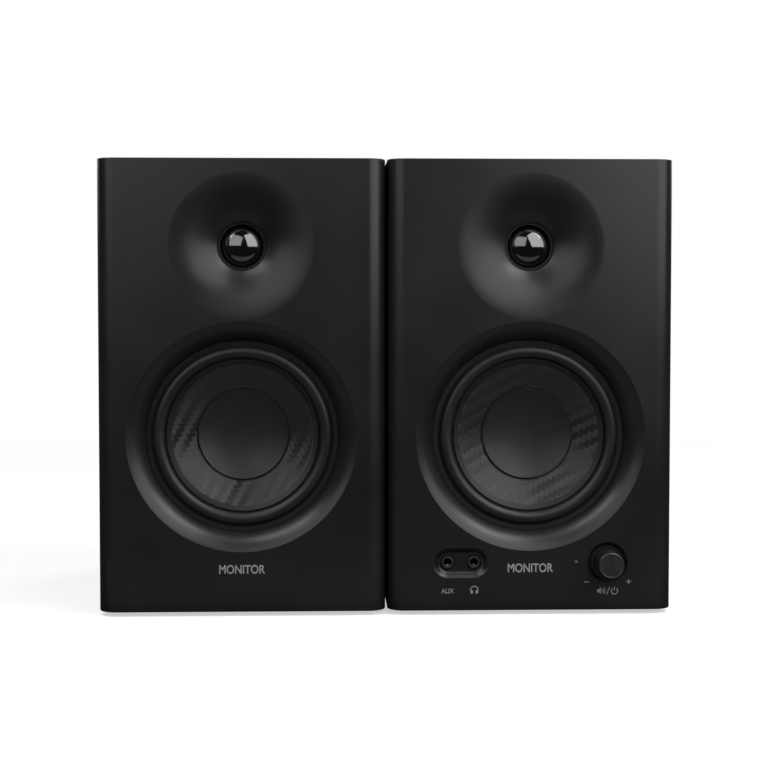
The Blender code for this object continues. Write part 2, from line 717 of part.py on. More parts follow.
def boards(passive, active):
    """Each part is (x, z, (radius, reach)) for a round one and (x, z, (width, height, reach)) for a square one."""
    crossover = [(-0.018, 0, (0.013, 0.014)), (0.018, 0.008, (0.022, 0.012, 0.013))]
    place = (0, BACK_Y - 0.018, PASSIVE_TERMINAL_Z)
    board("crossover_board", 0.068, 0.046, place, crossover, passive)
    amplifier = [
        (-0.026, -0.034, (0.034, 0.030, 0.026)),
        (0.012, -0.040, (0.009, 0.026)),
        (0.034, -0.040, (0.009, 0.026)),
        (0, 0.030, (0.070, 0.014, 0.022)),
    ]
    place = (0, BACK_Y - 0.034, PANEL_Z)
    board("amplifier_board", 0.098, 0.126, place, amplifier, active)


def speaker_centre(name, x):
    centre = bpy.data.objects.new(name, None)
    bpy.context.scene.collection.objects.link(centre)
    centre.location = (x, 0, 0)
    return centre


def common_pieces(prefix, speaker):
    woofer(prefix, speaker)
    tweeter(prefix, speaker)
    port(prefix, speaker)
    feet(prefix, speaker)


def main():
    clear_scene()
    passive = speaker_centre("passive_speaker", -SPACING / 2)
    active = speaker_centre("active_speaker", SPACING / 2)
    for prefix, speaker in (("passive", passive), ("active", active)):
        common_pieces(prefix, speaker)
    baffle("passive", passive)
    control_cutouts(baffle("active", active), active)
    passive_cabinet = cabinet("passive", passive)
    terminal_cutout(passive_cabinet, (0, BACK_Y, PASSIVE_TERMINAL_Z), passive)
    panel_cutouts(cabinet("active", active), active)
    terminal("passive", PASSIVE_TERMINAL_Z, passive)
    terminal("active", SPEAKER_OUT_Z, active)
    knob_and_encoder(active)
    front_jacks(active)
    led(active)
    rear_panel(active)
    tone_knobs(active)
    balanced_jacks(active)
    line_sockets(active)
    power_inlet(active)
    boards(passive, active)


main()
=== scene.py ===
"""The looks of a pair of two-way desktop monitor speakers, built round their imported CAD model.

Metres, +Z up, fronts facing -Y. Each piece is modelled about its speaker's own centre plane and then
set at that speaker's place. Depths in front pieces are measured back from the baffle's front face,
and depths in rear pieces are measured out from the cabinet's rear face.
"""

import math

import bmesh
import bpy
from mathutils import Matrix, Vector


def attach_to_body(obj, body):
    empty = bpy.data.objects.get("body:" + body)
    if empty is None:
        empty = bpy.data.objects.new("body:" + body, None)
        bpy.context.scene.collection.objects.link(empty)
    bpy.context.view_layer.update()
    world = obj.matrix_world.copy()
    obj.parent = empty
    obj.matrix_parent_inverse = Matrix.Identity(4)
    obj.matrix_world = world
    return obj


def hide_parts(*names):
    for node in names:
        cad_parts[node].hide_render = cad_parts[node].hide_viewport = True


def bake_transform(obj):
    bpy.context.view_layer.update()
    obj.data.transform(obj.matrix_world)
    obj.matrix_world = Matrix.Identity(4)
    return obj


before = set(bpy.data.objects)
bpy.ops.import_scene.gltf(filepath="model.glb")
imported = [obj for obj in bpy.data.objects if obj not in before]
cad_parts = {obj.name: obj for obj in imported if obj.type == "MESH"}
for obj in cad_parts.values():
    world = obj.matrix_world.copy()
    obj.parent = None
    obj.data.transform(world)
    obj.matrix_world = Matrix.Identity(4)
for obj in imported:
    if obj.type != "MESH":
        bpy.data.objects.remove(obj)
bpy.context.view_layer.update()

# The CAD model's sizes
CABINET_WIDTH = 0.1435
FOOT_HEIGHT = 0.002
BODY_TOP = 0.228
FRONT_Y = -0.08575
BACK_Y = 0.08875
SPACING = 0.1445
FIT_GAP = 0.0003
BAFFLE_DEPTH = 0.013
BAFFLE_EDGE_RADIUS = 0.009
WALL = 0.009
OVERCUT = 0.001
SPEAKERS = {"passive": -SPACING / 2, "active": SPACING / 2}

TWEETER_Z = 0.1848
WAVEGUIDE_RIM = 0.0368
RIM_ANGLE = math.radians(2)
THROAT_ANGLE = math.radians(38)
THROAT_RADIUS = 0.0124
DOME_RADIUS = 0.0102
DOME_EDGE = 0.011
DOME_HEIGHT = 0.0049
DOME_WALL = 0.0005

WOOFER_Z = 0.0896
WOOFER_Y = FRONT_Y - 0.002
RECESS_RIM = 0.0576
RECESS_RIM_ANGLE = math.radians(24)
RECESS_HOLE_ANGLE = math.radians(64)
WOOFER_HOLE = 0.0483
ROLL_CENTRE = 0.0421
ROLL_RADIUS = 0.0033
ROLL_DEPTH = 0.0127
ROLL_OUTER = 0.0457
ROLL_INNER = 0.037
RUBBER = 0.0007
SPIDER_OUTER = 0.0322
SPIDER_INNER = 0.0136
SPIDER_DEPTH = 0.0277
SPIDER_WAVE = 0.0005
SPIDER_CLOTH = 0.0005
CONE_WALL = 0.0009
CAP_RADIUS = 0.0227
CAP_EDGE = 0.0193
CAP_DISH = 0.0052
CAP_CURVE = 2.4
CAP_WALL = 0.0008

CONTROL_Z = 0.026
KNOB_X = 0.039
KNOB_PROUD = 0.013
KNOB_RADIUS = 0.0065
KNOB_BACK = 0.0007
KNOB_RECESS_RADIUS = 0.0097
KNOB_RECESS_DEPTH = 0.0022
KNOB_HOLE = 0.0046
SHAFT_BORE = 0.0033
JACK_XS = {"aux": -0.0416, "headphone": -0.0283}
JACK_RADIUS = 0.0033
JACK_RECESS_LENGTH = 0.0284
JACK_RECESS_HEIGHT = 0.0157
JACK_RECESS_DEPTH = 0.0025
LED_X = 0.0231
LED_RADIUS = 0.001

PORT_Z = 0.191
PORT_HOLE = 0.021
PANEL_Z = 0.086
PANEL_WIDTH = 0.118
PANEL_HEIGHT = 0.150
PANEL_THICKNESS = 0.002
PANEL_LEDGE = 0.007
TONE_Z = 0.141
TONE_XS = {"treble": -0.022, "bass": 0.022}
TONE_PROUD = 0.010
BALANCED_Z = 0.112
BALANCED_XS = {"left": -0.024, "right": 0.024}
LINE_Z = 0.085
LINE_XS = (-0.014, 0.014)
TERMINAL_ZS = {"passive": 0.080, "active": 0.056}
TERMINAL_WIDTH = 0.046
TERMINAL_HEIGHT = 0.030
TERMINAL_BOX_WIDTH = 0.040
TERMINAL_BOX_HEIGHT = 0.024
LEVER_XS = {"red": -0.011, "black": 0.011}
LEVER_WIDTH = 0.0084
INLET_Z = 0.026

# Facets round a full circle
LARGE = 168
MEDIUM = 96
SMALL = 48

TOW = 0.0021
PRINT_THICKNESS = 0.00004


# Materials


def principled(name, colour, roughness, metallic=0.0):
    """A new material, its node tree and its shader, with the uniform values set on the shader."""
    made = bpy.data.materials.new(name)
    made.use_nodes = True
    shader = made.node_tree.nodes["Principled BSDF"]
    shader.inputs["Base Color"].default_value = (*colour, 1.0)
    shader.inputs["Roughness"].default_value = roughness
    shader.inputs["Metallic"].default_value = metallic
    return made, made.node_tree, shader


def coordinates(tree):
    return tree.nodes.new("ShaderNodeTexCoord").outputs["Object"]


def axes(tree, vector=None):
    """The X, Y and Z of a vector, which is the shaded point unless another is given."""
    split = tree.nodes.new("ShaderNodeSeparateXYZ")
    tree.links.new(vector or coordinates(tree), split.inputs["Vector"])
    return split.outputs


def noise(tree, scale, detail=3.0, vector=None):
    node = tree.nodes.new("ShaderNodeTexNoise")
    node.inputs["Scale"].default_value = scale
    node.inputs["Detail"].default_value = detail
    tree.links.new(vector or coordinates(tree), node.inputs["Vector"])
    return node.outputs["Fac"]


def spread(tree, source, low, high, start=0.3, end=0.7):
    """Maps a value from start..end to low..high."""
    node = tree.nodes.new("ShaderNodeMapRange")
    for socket, value in (("From Min", start), ("From Max", end), ("To Min", low), ("To Max", high)):
        node.inputs[socket].default_value = value
    tree.links.new(source, node.inputs["Value"])
    return node.outputs["Result"]


def maths(tree, operation, first, second=0.0):
    """A Math node on two values, each a socket or a number."""
    node = tree.nodes.new("ShaderNodeMath")
    node.operation = operation
    for socket, value in zip(node.inputs, (first, second)):
        if isinstance(value, (int, float)):
            socket.default_value = value
        else:
            tree.links.new(value, socket)
    return node.outputs["Value"]


def plus(tree, first, second):
    return maths(tree, "ADD", first, second)


def minus(tree, first, second):
    return maths(tree, "SUBTRACT", first, second)


def times(tree, first, second):
    return maths(tree, "MULTIPLY", first, second)


def radius_over(tree, first, second):
    """The distance of the shaded point from the axis that is square to the two named ones."""
    parts = axes(tree)
    squares = [times(tree, parts[axis], parts[axis]) for axis in (first, second)]
    return maths(tree, "SQRT", plus(tree, *squares))


def choose(tree, factor, first, second):
    """The first value where factor is 0, and the second where it is 1."""
    difference = minus(tree, second, first)
    return plus(tree, first, times(tree, difference, factor))


def colour_mix(tree, factor, first, second):
    """A colour that runs from first to second, each a colour or a socket."""
    node = tree.nodes.new("ShaderNodeMix")
    node.data_type = "RGBA"
    tree.links.new(factor, node.inputs["Factor"])
    for socket, value in ((node.inputs[6], first), (node.inputs[7], second)):
        if isinstance(value, tuple):
            socket.default_value = (*value, 1.0)
        else:
            tree.links.new(value, socket)
    return node.outputs[2]


def scaled(colour, factor):
    return tuple(channel * factor for channel in colour)


def bump(tree, shader, height, distance):
    node = tree.nodes.new("ShaderNodeBump")
    node.inputs["Distance"].default_value = distance
    tree.links.new(height, node.inputs["Height"])
    tree.links.new(node.outputs["Normal"], shader.inputs["Normal"])


def textured(name, colour, roughness, metallic=0.0, grain=3000.0, depth=0.00001, mottle=40.0, swing=0.05):
    """A moulded, painted or rubbed surface: a fine grain, and slow changes in its tone and gloss."""
    made, tree, shader = principled(name, colour, roughness, metallic)
    slow = noise(tree, mottle)
    fine = noise(tree, grain, 2.0)
    tone = colour_mix(tree, spread(tree, slow, 0.0, 1.0), scaled(colour, 0.86), scaled(colour, 1.14))
    tree.links.new(tone, shader.inputs["Base Color"])
    gloss = plus(tree, spread(tree, slow, -swing, swing), spread(tree, fine, -swing, swing))
    tree.links.new(plus(tree, gloss, roughness), shader.inputs["Roughness"])
    bump(tree, shader, fine, depth)
    return made


def vinyl_wrap(name):
    """Black vinyl on board: small pebbles with fine creases between them."""
    colour = (0.011, 0.011, 0.012)
    made, tree, shader = principled(name, colour, 0.5)
    cells = tree.nodes.new("ShaderNodeTexVoronoi")
    cells.feature = "SMOOTH_F1"
    cells.inputs["Scale"].default_value = 1100.0
    cells.inputs["Smoothness"].default_value = 0.6
    tree.links.new(coordinates(tree), cells.inputs["Vector"])
    pebble = spread(tree, cells.outputs["Distance"], 1.0, 0.0, 0.0, 0.8)
    slow = noise(tree, 30.0)
    height = plus(tree, pebble, spread(tree, noise(tree, 2600.0), 0.0, 0.4))
    # The creases between the pebbles are painted darker, as painted shade.
    tone = colour_mix(tree, pebble, scaled(colour, 0.7), scaled(colour, 1.25))
    tree.links.new(tone, shader.inputs["Base Color"])
    gloss = plus(tree, spread(tree, slow, 0.42, 0.52), spread(tree, pebble, 0.08, -0.02, 0.0, 1.0))
    tree.links.new(gloss, shader.inputs["Roughness"])
    bump(tree, shader, height, 0.00005)
    return made


def twill(tree, turn):
    """A 2/2 twill: its tow counts across and up, where warp is on top, and the place along and over a tow."""
    rotate = tree.nodes.new("ShaderNodeVectorRotate")
    rotate.rotation_type = "Y_AXIS"
    rotate.inputs["Angle"].default_value = turn
    tree.links.new(coordinates(tree), rotate.inputs["Vector"])
    parts = axes(tree, rotate.outputs["Vector"])
    across, up = maths(tree, "DIVIDE", parts["X"], TOW), maths(tree, "DIVIDE", parts["Z"], TOW)
    column, row = maths(tree, "FLOOR", across), maths(tree, "FLOOR", up)
    across_part, up_part = minus(tree, across, column), minus(tree, up, row)
    place = maths(tree, "FLOORED_MODULO", minus(tree, column, row), 4.0)
    warp = maths(tree, "LESS_THAN", place, 1.5)
    warp_run = minus(tree, plus(tree, up_part, 1.0), place)
    weft_run = plus(tree, minus(tree, place, 2.0), across_part)
    run = times(tree, choose(tree, warp, weft_run, warp_run), math.pi / 2)
    side = choose(tree, warp, up_part, across_part)
    return across, up, warp, run, side


def tow_tangent(tree, shader, turn, warp):
    """Spreads the gloss across each tow, whichever way that tow runs."""
    unturned = Matrix.Rotation(-turn, 3, "Y")
    direction = tree.nodes.new("ShaderNodeMix")
    direction.data_type = "VECTOR"
    direction.inputs[4].default_value = unturned @ Vector((0, 0, 1))
    direction.inputs[5].default_value = unturned @ Vector((1, 0, 0))
    tree.links.new(warp, direction.inputs[0])
    to_world = tree.nodes.new("ShaderNodeVectorTransform")
    to_world.convert_from, to_world.convert_to = "OBJECT", "WORLD"
    tree.links.new(direction.outputs[1], to_world.inputs["Vector"])
    tree.links.new(to_world.outputs["Vector"], shader.inputs["Tangent"])


def weave(name, turn):
    """A twill of flat black tows under clear resin, turned by an angle about the cone's axis."""
    colour = (0.02, 0.02, 0.0215)
    made, tree, shader = principled(name, colour, 0.36)
    shader.inputs["Anisotropic"].default_value = 0.95
    across, up, warp, run, side = twill(tree, turn)
    off_middle = minus(tree, times(tree, side, 2.0), 1.0)
    crown = maths(tree, "SQRT", minus(tree, 1.0, maths(tree, "POWER", off_middle, 4.0)))
    height = times(tree, crown, plus(tree, maths(tree, "SINE", run), 1.2))
    threads = tree.nodes.new("ShaderNodeCombineXYZ")
    thin_across, thin_up = times(tree, across, 14.0), times(tree, up, 14.0)
    tree.links.new(choose(tree, warp, across, thin_across), threads.inputs["X"])
    tree.links.new(choose(tree, warp, thin_up, up), threads.inputs["Z"])
    filament = noise(tree, 1.0, 2.0, threads.outputs["Vector"])
    height = plus(tree, height, times(tree, filament, 0.12))
    bump(tree, shader, height, 0.00003)
    # Each tow is painted darker towards its edges, as painted shade in the gaps between tows; the filament
    # noise adds a random tone.
    painted_tow_edge_shade = spread(tree, crown, 0.35, 1.0, 0.0, 0.9)
    shade = times(tree, painted_tow_edge_shade, spread(tree, filament, 0.75, 1.2))
    tone = colour_mix(tree, shade, scaled(colour, 0.25), scaled(colour, 1.2))
    tree.links.new(tone, shader.inputs["Base Color"])
    tree.links.new(spread(tree, filament, 0.3, 0.42), shader.inputs["Roughness"])
    tow_tangent(tree, shader, turn, warp)
    return made


def circuit_board(name, front):
    """A green board with bare copper runs, and dark parts where it stands proud of its own front face."""
    made, tree, shader = principled(name, (0.01, 0.08, 0.03), 0.45)
    is_part = maths(tree, "LESS_THAN", axes(tree)["Y"], front)
    runs = tree.nodes.new("ShaderNodeTexBrick")
    runs.inputs["Scale"].default_value = 160.0
    tree.links.new(coordinates(tree), runs.inputs["Vector"])
    mask = colour_mix(tree, runs.outputs["Fac"], (0.01, 0.08, 0.03), (0.03, 0.17, 0.05))
    blotches = spread(tree, noise(tree, 60.0), 0.0, 1.0)
    parts = colour_mix(tree, blotches, (0.012, 0.012, 0.014), (0.06, 0.06, 0.065))
    tree.links.new(colour_mix(tree, is_part, mask, parts), shader.inputs["Base Color"])
    tree.links.new(spread(tree, noise(tree, 400.0), 0.35, 0.55), shader.inputs["Roughness"])
    bump(tree, shader, noise(tree, 1500.0), 0.00003)
    return made


def spun_black(name):
    """A black knob whose face was turned on a lathe: fine rings round the Y axis."""
    colour = (0.022, 0.022, 0.023)
    made, tree, shader = principled(name, colour, 0.33)
    shader.inputs["Anisotropic"].default_value = 0.5
    tangent = tree.nodes.new("ShaderNodeTangent")
    tangent.direction_type, tangent.axis = "RADIAL", "Y"
    tree.links.new(tangent.outputs["Tangent"], shader.inputs["Tangent"])
    turns = times(tree, radius_over(tree, "X", "Z"), 2 * math.pi / 0.00022)
    rings = maths(tree, "SINE", turns)
    slow = noise(tree, 220.0)
    tone = colour_mix(tree, spread(tree, slow, 0.0, 1.0), scaled(colour, 0.8), scaled(colour, 1.2))
    tree.links.new(tone, shader.inputs["Base Color"])
    tree.links.new(spread(tree, slow, 0.28, 0.4), shader.inputs["Roughness"])
    bump(tree, shader, plus(tree, rings, noise(tree, 4000.0)), 0.0000015)
    return made


MATERIALS = {
    "baffle": textured(
        "satin_baffle", (0.0122, 0.0118, 0.0124), 0.33, grain=2600, depth=0.000006, mottle=25, swing=0.03
    ),
    "trim": textured("trim_plastic", (0.012, 0.012, 0.0125), 0.34, grain=3500, depth=0.000006),
    # seat: a darker plastic that stands for painted shade where shade falls: the knob's recess and side, the
    # woofer's trim bead and the tweeter's face ring
    "seat": textured("matt_painted_shade", (0.005, 0.005, 0.0052), 0.5, grain=3000, depth=0.000008, mottle=60),
    "vinyl": vinyl_wrap("grained_vinyl"),
    "rubber": textured(
        "surround_rubber", (0.012, 0.012, 0.0125), 0.42, grain=2200, depth=0.000008, mottle=60
    ),
    "foot_rubber": textured("foot_rubber", (0.012, 0.012, 0.012), 0.7, grain=2200, depth=0.00003),
    "weave_passive": weave("woven_tows_left", math.radians(17)),
    "weave_active": weave("woven_tows_right", math.radians(-17)),
    "cap": textured("cap_plastic", (0.0145, 0.0145, 0.015), 0.47, grain=3200, depth=0.000008, mottle=80),
    "dome": textured("dome_metal", (0.18, 0.18, 0.185), 0.1, 1.0, grain=900, depth=0.0000005, swing=0.02),
    "socket": textured("socket_plastic", (0.024, 0.024, 0.024), 0.42, grain=2600, depth=0.00001),
    "panel": textured("panel_paint", (0.013, 0.013, 0.0135), 0.48, 0.0, grain=1500, depth=0.00003, mottle=20),
    "steel": textured(
        "bare_steel", (0.5, 0.5, 0.51), 0.32, 1.0, grain=1800, depth=0.000006, mottle=120, swing=0.08
    ),
    "nickel": textured("nickel_plate", (0.62, 0.6, 0.56), 0.24, 1.0, grain=2400, depth=0.000003, swing=0.05),
    "ferrite": textured("ferrite", (0.05, 0.05, 0.053), 0.72, grain=1600, depth=0.00006, mottle=90),
    "coil": textured("coil_former", (0.42, 0.2, 0.07), 0.4, 0.7, grain=2200, depth=0.00002),
    "cloth": textured("spider_cloth", (0.55, 0.38, 0.17), 0.9, grain=1400, depth=0.00006),
    "basket": textured("basket_steel", (0.02, 0.02, 0.021), 0.5, 0.4, grain=1300, depth=0.00003),
    "red": textured("red_lever", (0.42, 0.012, 0.012), 0.36, grain=2800, depth=0.000008, swing=0.04),
    "black": textured("black_plastic", (0.014, 0.014, 0.0145), 0.42, grain=2400, depth=0.000012),
    "lens": textured("led_lens", (0.09, 0.09, 0.095), 0.2, grain=1500, depth=0.000004, swing=0.04),
    "print": textured("printed_legend", (0.34, 0.34, 0.345), 0.5, grain=2600, depth=0.000004, mottle=300),
    "knob": spun_black("spun_black"),
    "crossover": circuit_board("crossover_laminate", BACK_Y - 0.018 - 0.0017),
    "amplifier": circuit_board("amplifier_laminate", BACK_Y - 0.034 - 0.0017),
}


# Shapes


def arc(centre, radius, start, end, steps):
    """Points on a circle from one angle to another, both ends included."""
    angles = [start + (end - start) * i / steps for i in range(steps + 1)]
    return [(centre[0] + radius * math.cos(a), centre[1] + radius * math.sin(a)) for a in angles]


def rounded(points, closed):
    """The outline, with each corner given as (a, b, cut) rounded off from cut before it to cut after it."""
    made = []
    for i, (a, b, *cut) in enumerate(points):
        inside = closed or 0 < i < len(points) - 1
        if not cut or not inside:
            made.append((a, b))
            continue
        corner = Vector((a, b))
        before = Vector(points[i - 1][:2]) - corner
        after = Vector(points[(i + 1) % len(points)][:2]) - corner
        start = corner + before.normalized() * min(cut[0], before.length * 0.49)
        end = corner + after.normalized() * min(cut[0], after.length * 0.49)
        for step in range(5):
            t = step / 4
            made.append(tuple(start * (1 - t) ** 2 + corner * 2 * t * (1 - t) + end * t**2))
    return made


def turned(profile, facets):
    """A solid turned about Y from (radius, depth) points: a ring, unless its two ends are on the axis."""
    ring = profile[0][0] > 0
    bm = bmesh.new()
    points = [bm.verts.new((radius, depth, 0.0)) for radius, depth in rounded(profile, ring)]
    pairs = list(zip(points, points[1:]))
    if ring:
        pairs.append((points[-1], points[0]))
    edges = [bm.edges.new(pair) for pair in pairs]
    around = {"cent": (0, 0, 0), "axis": (0, 1, 0), "angle": 2 * math.pi, "steps": facets}
    bmesh.ops.spin(bm, geom=points + edges, use_merge=True, **around)
    bmesh.ops.remove_doubles(bm, verts=bm.verts, dist=1e-7)
    return bm


def rod(radius, near, far, *cut):
    """The profile of a plain rod, or of a bore, whose far corner may be rounded by a cut."""
    return [(0, near), (radius, near), (radius, far, *cut), (0, far)]


def flared_bore(radius, near, neck, mouth, lip, far):
    """The profile of a socket's bore that opens from its neck to a wider mouth at the lip."""
    return [(0, near), (radius, near), (radius, neck), (mouth, lip), (mouth, far), (0, far)]


def block(low, high, edge=0.0):
    """A box between two corners, with its edges rounded."""
    low, high = Vector(low), Vector(high)
    bm = bmesh.new()
    bmesh.ops.create_cube(bm, size=1.0)
    bmesh.ops.scale(bm, vec=high - low, verts=bm.verts)
    bmesh.ops.translate(bm, vec=(low + high) / 2, verts=bm.verts)
    if edge:
        bmesh.ops.bevel(bm, geom=bm.edges[:], offset=edge, segments=3, profile=0.5, affect="EDGES")
    return bm


def centred_block(width, height, near, far, edge=0.0):
    """A box centred on X and Z, from depth near to depth far."""
    return block((-width / 2, near, -height / 2), (width / 2, far, height / 2), edge)


def extruded(outline, low, high, place_of):
    """A prism over a closed outline, where place_of(point, level) gives a corner."""
    bm = bmesh.new()
    face = bm.faces.new([bm.verts.new(place_of(point, low)) for point in outline])
    moved = bmesh.ops.extrude_face_region(bm, geom=[face])["geom"]
    span = Vector(place_of(outline[0], high)) - Vector(place_of(outline[0], low))
    bmesh.ops.translate(
        bm, vec=span, verts=[v for v in moved if isinstance(v, bmesh.types.BMVert)]
    )
    return bm


def stadium(length, height, steps):
    """A slot outline with round ends, centred on the origin."""
    radius = height / 2
    reach = length / 2 - radius
    right = arc((reach, 0), radius, -math.pi / 2, math.pi / 2, steps)
    left = arc((-reach, 0), radius, math.pi / 2, 3 * math.pi / 2, steps)
    return right + left


def lofted(rings):
    """A closed solid through outlines of equal count, given as lists of corners, with both ends capped."""
    bm = bmesh.new()
    rows = [[bm.verts.new(corner) for corner in ring] for ring in rings]
    for row, following in zip(rows, rows[1:]):
        for i in range(len(row)):
            j = (i + 1) % len(row)
            bm.faces.new((row[i], row[j], following[j], following[i]))
    bm.faces.new(rows[0])
    bm.faces.new(reversed(rows[-1]))
    return bm


def show(obj):
    bpy.context.scene.collection.objects.link(obj)


def to_mesh(name, bm):
    bmesh.ops.recalc_face_normals(bm, faces=bm.faces)
    mesh = bpy.data.meshes.new(name)
    bm.to_mesh(mesh)
    bm.free()
    return mesh


def carve(body, bm, place=(0, 0, 0), operation="DIFFERENCE"):
    """Cuts a solid from the body, or joins it on, and keeps the result as the body's own mesh."""
    helper = bpy.data.objects.new("helper", to_mesh("helper", bm))
    helper.location = place
    show(helper)
    modifier = body.modifiers.new("carve", "BOOLEAN")
    modifier.operation, modifier.solver, modifier.object = operation, "EXACT", helper
    bpy.context.view_layer.update()
    graph = bpy.context.evaluated_depsgraph_get()
    result = bpy.data.meshes.new_from_object(body.evaluated_get(graph))
    body.modifiers.clear()
    body.data = result
    bpy.data.objects.remove(helper, do_unlink=True)


def model(name, bm, place=(0, 0, 0)):
    """A new object from a solid, at its place about the speaker's centre plane."""
    obj = bpy.data.objects.new(name, to_mesh(name, bm))
    obj.location = place
    show(obj)
    bpy.context.view_layer.update()
    return obj


def crisp(obj, sharp=35.0):
    """Smooth shading, with edges over the sharp angle kept crisp."""
    obj.data.shade_smooth()
    obj.data.set_sharp_from_angle(angle=math.radians(sharp))


def attach(obj, speaker, material, body, nodes=(), sharp=35.0):
    """Finishes a piece and hangs it on its CAD body, in place of the CAD nodes it stands for."""
    if material:
        obj.data.materials.clear()
        obj.data.materials.append(MATERIALS[material])
    crisp(obj, sharp)
    modifier = obj.modifiers.new("normals", "WEIGHTED_NORMAL")
    modifier.mode, modifier.weight, modifier.keep_sharp = "FACE_AREA", 100, True
    obj.location.x += SPEAKERS[speaker]
    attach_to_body(obj, body)
    if nodes:
        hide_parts(*nodes)
    return obj


def two_tone(obj, first, second, is_second):
    """Gives a piece its main material, and a second one on the faces whose middles pass the test."""
    for key in (first, second):
        obj.data.materials.append(MATERIALS[key])
    for face in obj.data.polygons:
        face.material_index = int(is_second(face.center))


def from_axis(point):
    """The distance of a point from the Y axis of its own piece."""
    return math.hypot(point.x, point.z)


# Shell


def steepening(rim, hole, start, end, steps):
    """(radius, depth) from a rim inwards along one arc, whose slope runs from the start to the end angle."""
    arc_radius = (rim - hole) / (math.sin(end) - math.sin(start))
    points = []
    for i in range(steps + 1):
        angle = start + (end - start) * i / steps
        radius = rim - arc_radius * (math.sin(angle) - math.sin(start))
        depth = arc_radius * (math.cos(start) - math.cos(angle))
        points.append((radius, depth))
    return points


def waveguide_points():
    return steepening(WAVEGUIDE_RIM, THROAT_RADIUS, RIM_ANGLE, THROAT_ANGLE, 36)


def recess_points():
    return steepening(RECESS_RIM, WOOFER_HOLE, RECESS_RIM_ANGLE, RECESS_HOLE_ANGLE, 30)


def bored(points, back):
    """Closes a bowl's points into a cutter that opens the front and runs on past depth back."""
    rim, throat = points[0][0], points[-1][0]
    return [(0, -OVERCUT), (rim, -OVERCUT), *points, (throat, back + OVERCUT), (0, back + OVERCUT)]


def baffle_plate():
    half = CABINET_WIDTH / 2
    edge = BAFFLE_EDGE_RADIUS
    left = arc((edge - half, edge), edge, math.pi, 3 * math.pi / 2, 24)
    right = arc((half - edge, edge), edge, 3 * math.pi / 2, 2 * math.pi, 24)
    outline = [(-half, BAFFLE_DEPTH), *left, *right, (half, BAFFLE_DEPTH)]
    plate = extruded(outline, FOOT_HEIGHT, BODY_TOP, lambda p, level: (p[0], p[1], level))
    ends = [e for e in plate.edges if abs(e.verts[0].co.z - e.verts[1].co.z) < 1e-6]
    bmesh.ops.bevel(plate, geom=ends, offset=0.0004, segments=3, profile=0.5, affect="EDGES")
    return plate


def baffle(speaker):
    body = model(f"{speaker}_baffle_moulding", baffle_plate(), (0, FRONT_Y, 0))
    tweeter, woofer = (0, FRONT_Y, TWEETER_Z), (0, FRONT_Y, WOOFER_Z)
    carve(body, turned(bored(waveguide_points(), BAFFLE_DEPTH), LARGE), tweeter)
    carve(body, turned(bored(recess_points(), BAFFLE_DEPTH), LARGE), woofer)
    if speaker == "active":
        control_cutouts(body)
    # The knob's recess is painted darker than the rest of the moulding, as painted shade round the knob.
    knob = Vector((KNOB_X, 0, CONTROL_Z))
    reach = KNOB_RECESS_RADIUS + 0.0002 if speaker == "active" else 0.0
    two_tone(body, "baffle", "seat", lambda p: p.y > 0.0003 and from_axis(p - knob) < reach)
    nodes = [f"{speaker}_front_baffle"]
    attach(body, speaker, None, f"{speaker}_speaker", nodes, sharp=6.0)


def control_cutouts(body):
    """The knob's dished recess, the jacks' recess and the holes in them."""
    row = Vector((0, FRONT_Y, CONTROL_Z))
    through = BAFFLE_DEPTH + OVERCUT
    rim, floor = KNOB_RECESS_RADIUS, KNOB_RECESS_DEPTH
    dish = [
        (0, -OVERCUT), (rim + 0.0006, -OVERCUT), (rim + 0.0006, 0), (rim, 0.0003, 0.0006),
        (rim - 0.0006, 0.0013, 0.0006), (rim - 0.0012, floor, 0.0007), (KNOB_HOLE, floor, 0.0002),
        (KNOB_HOLE, through), (0, through),
    ]
    carve(body, turned(dish, MEDIUM), row + Vector((KNOB_X, 0, 0)))
    middle = sum(JACK_XS.values()) / len(JACK_XS)
    steps = 16
    rings = [pocket_ring(0.0, -OVERCUT)]
    for i in range(steps + 1):
        t = i / steps
        rings.append(pocket_ring(0.0034 * t, JACK_RECESS_DEPTH * t * t * (3 - 2 * t)))
    carve(body, lofted(rings), row + Vector((middle, 0, 0)))
    for x, radius in [(x, JACK_RADIUS) for x in JACK_XS.values()] + [(LED_X, LED_RADIUS)]:
        radius += FIT_GAP
        carve(body, turned(rod(radius, -OVERCUT, through), SMALL), row + Vector((x, 0, 0)))


def pocket_ring(inset, depth):
    outline = stadium(JACK_RECESS_LENGTH - 2 * inset, JACK_RECESS_HEIGHT - 2 * inset, 24)
    return [(x, depth, z) for x, z in outline]


def cabinet(speaker):
    half = CABINET_WIDTH / 2
    front = FRONT_Y + BAFFLE_DEPTH + FIT_GAP
    box = block((-half, front, FOOT_HEIGHT), (half, BACK_Y, BODY_TOP), 0.0008)
    body = model(f"{speaker}_cabinet_box", box)
    low = (WALL - half, front - OVERCUT, FOOT_HEIGHT + WALL)
    carve(body, block(low, (half - WALL, BACK_Y - WALL, BODY_TOP - WALL)))
    near = -WALL - OVERCUT
    carve(body, turned(rod(PORT_HOLE, near, OVERCUT), MEDIUM), (0, BACK_Y, PORT_Z))
    if speaker == "passive":
        terminal_window(body, TERMINAL_ZS[speaker])
    else:
        gap = 2 * FIT_GAP
        rebate = centred_block(
            PANEL_WIDTH + gap, PANEL_HEIGHT + gap, -PANEL_THICKNESS - FIT_GAP, OVERCUT
        )
        carve(body, rebate, (0, BACK_Y, PANEL_Z))
        ledge = 2 * PANEL_LEDGE
        window = centred_block(PANEL_WIDTH - ledge, PANEL_HEIGHT - ledge, near, OVERCUT)
        carve(body, window, (0, BACK_Y, PANEL_Z))
    attach(body, speaker, "vinyl", f"{speaker}_speaker", [f"{speaker}_cabinet"])


def terminal_window(body, z):
    width = TERMINAL_BOX_WIDTH + 2 * FIT_GAP
    height = TERMINAL_BOX_HEIGHT + 2 * FIT_GAP
    carve(body, centred_block(width, height, -WALL - OVERCUT, OVERCUT), (0, BACK_Y, z))


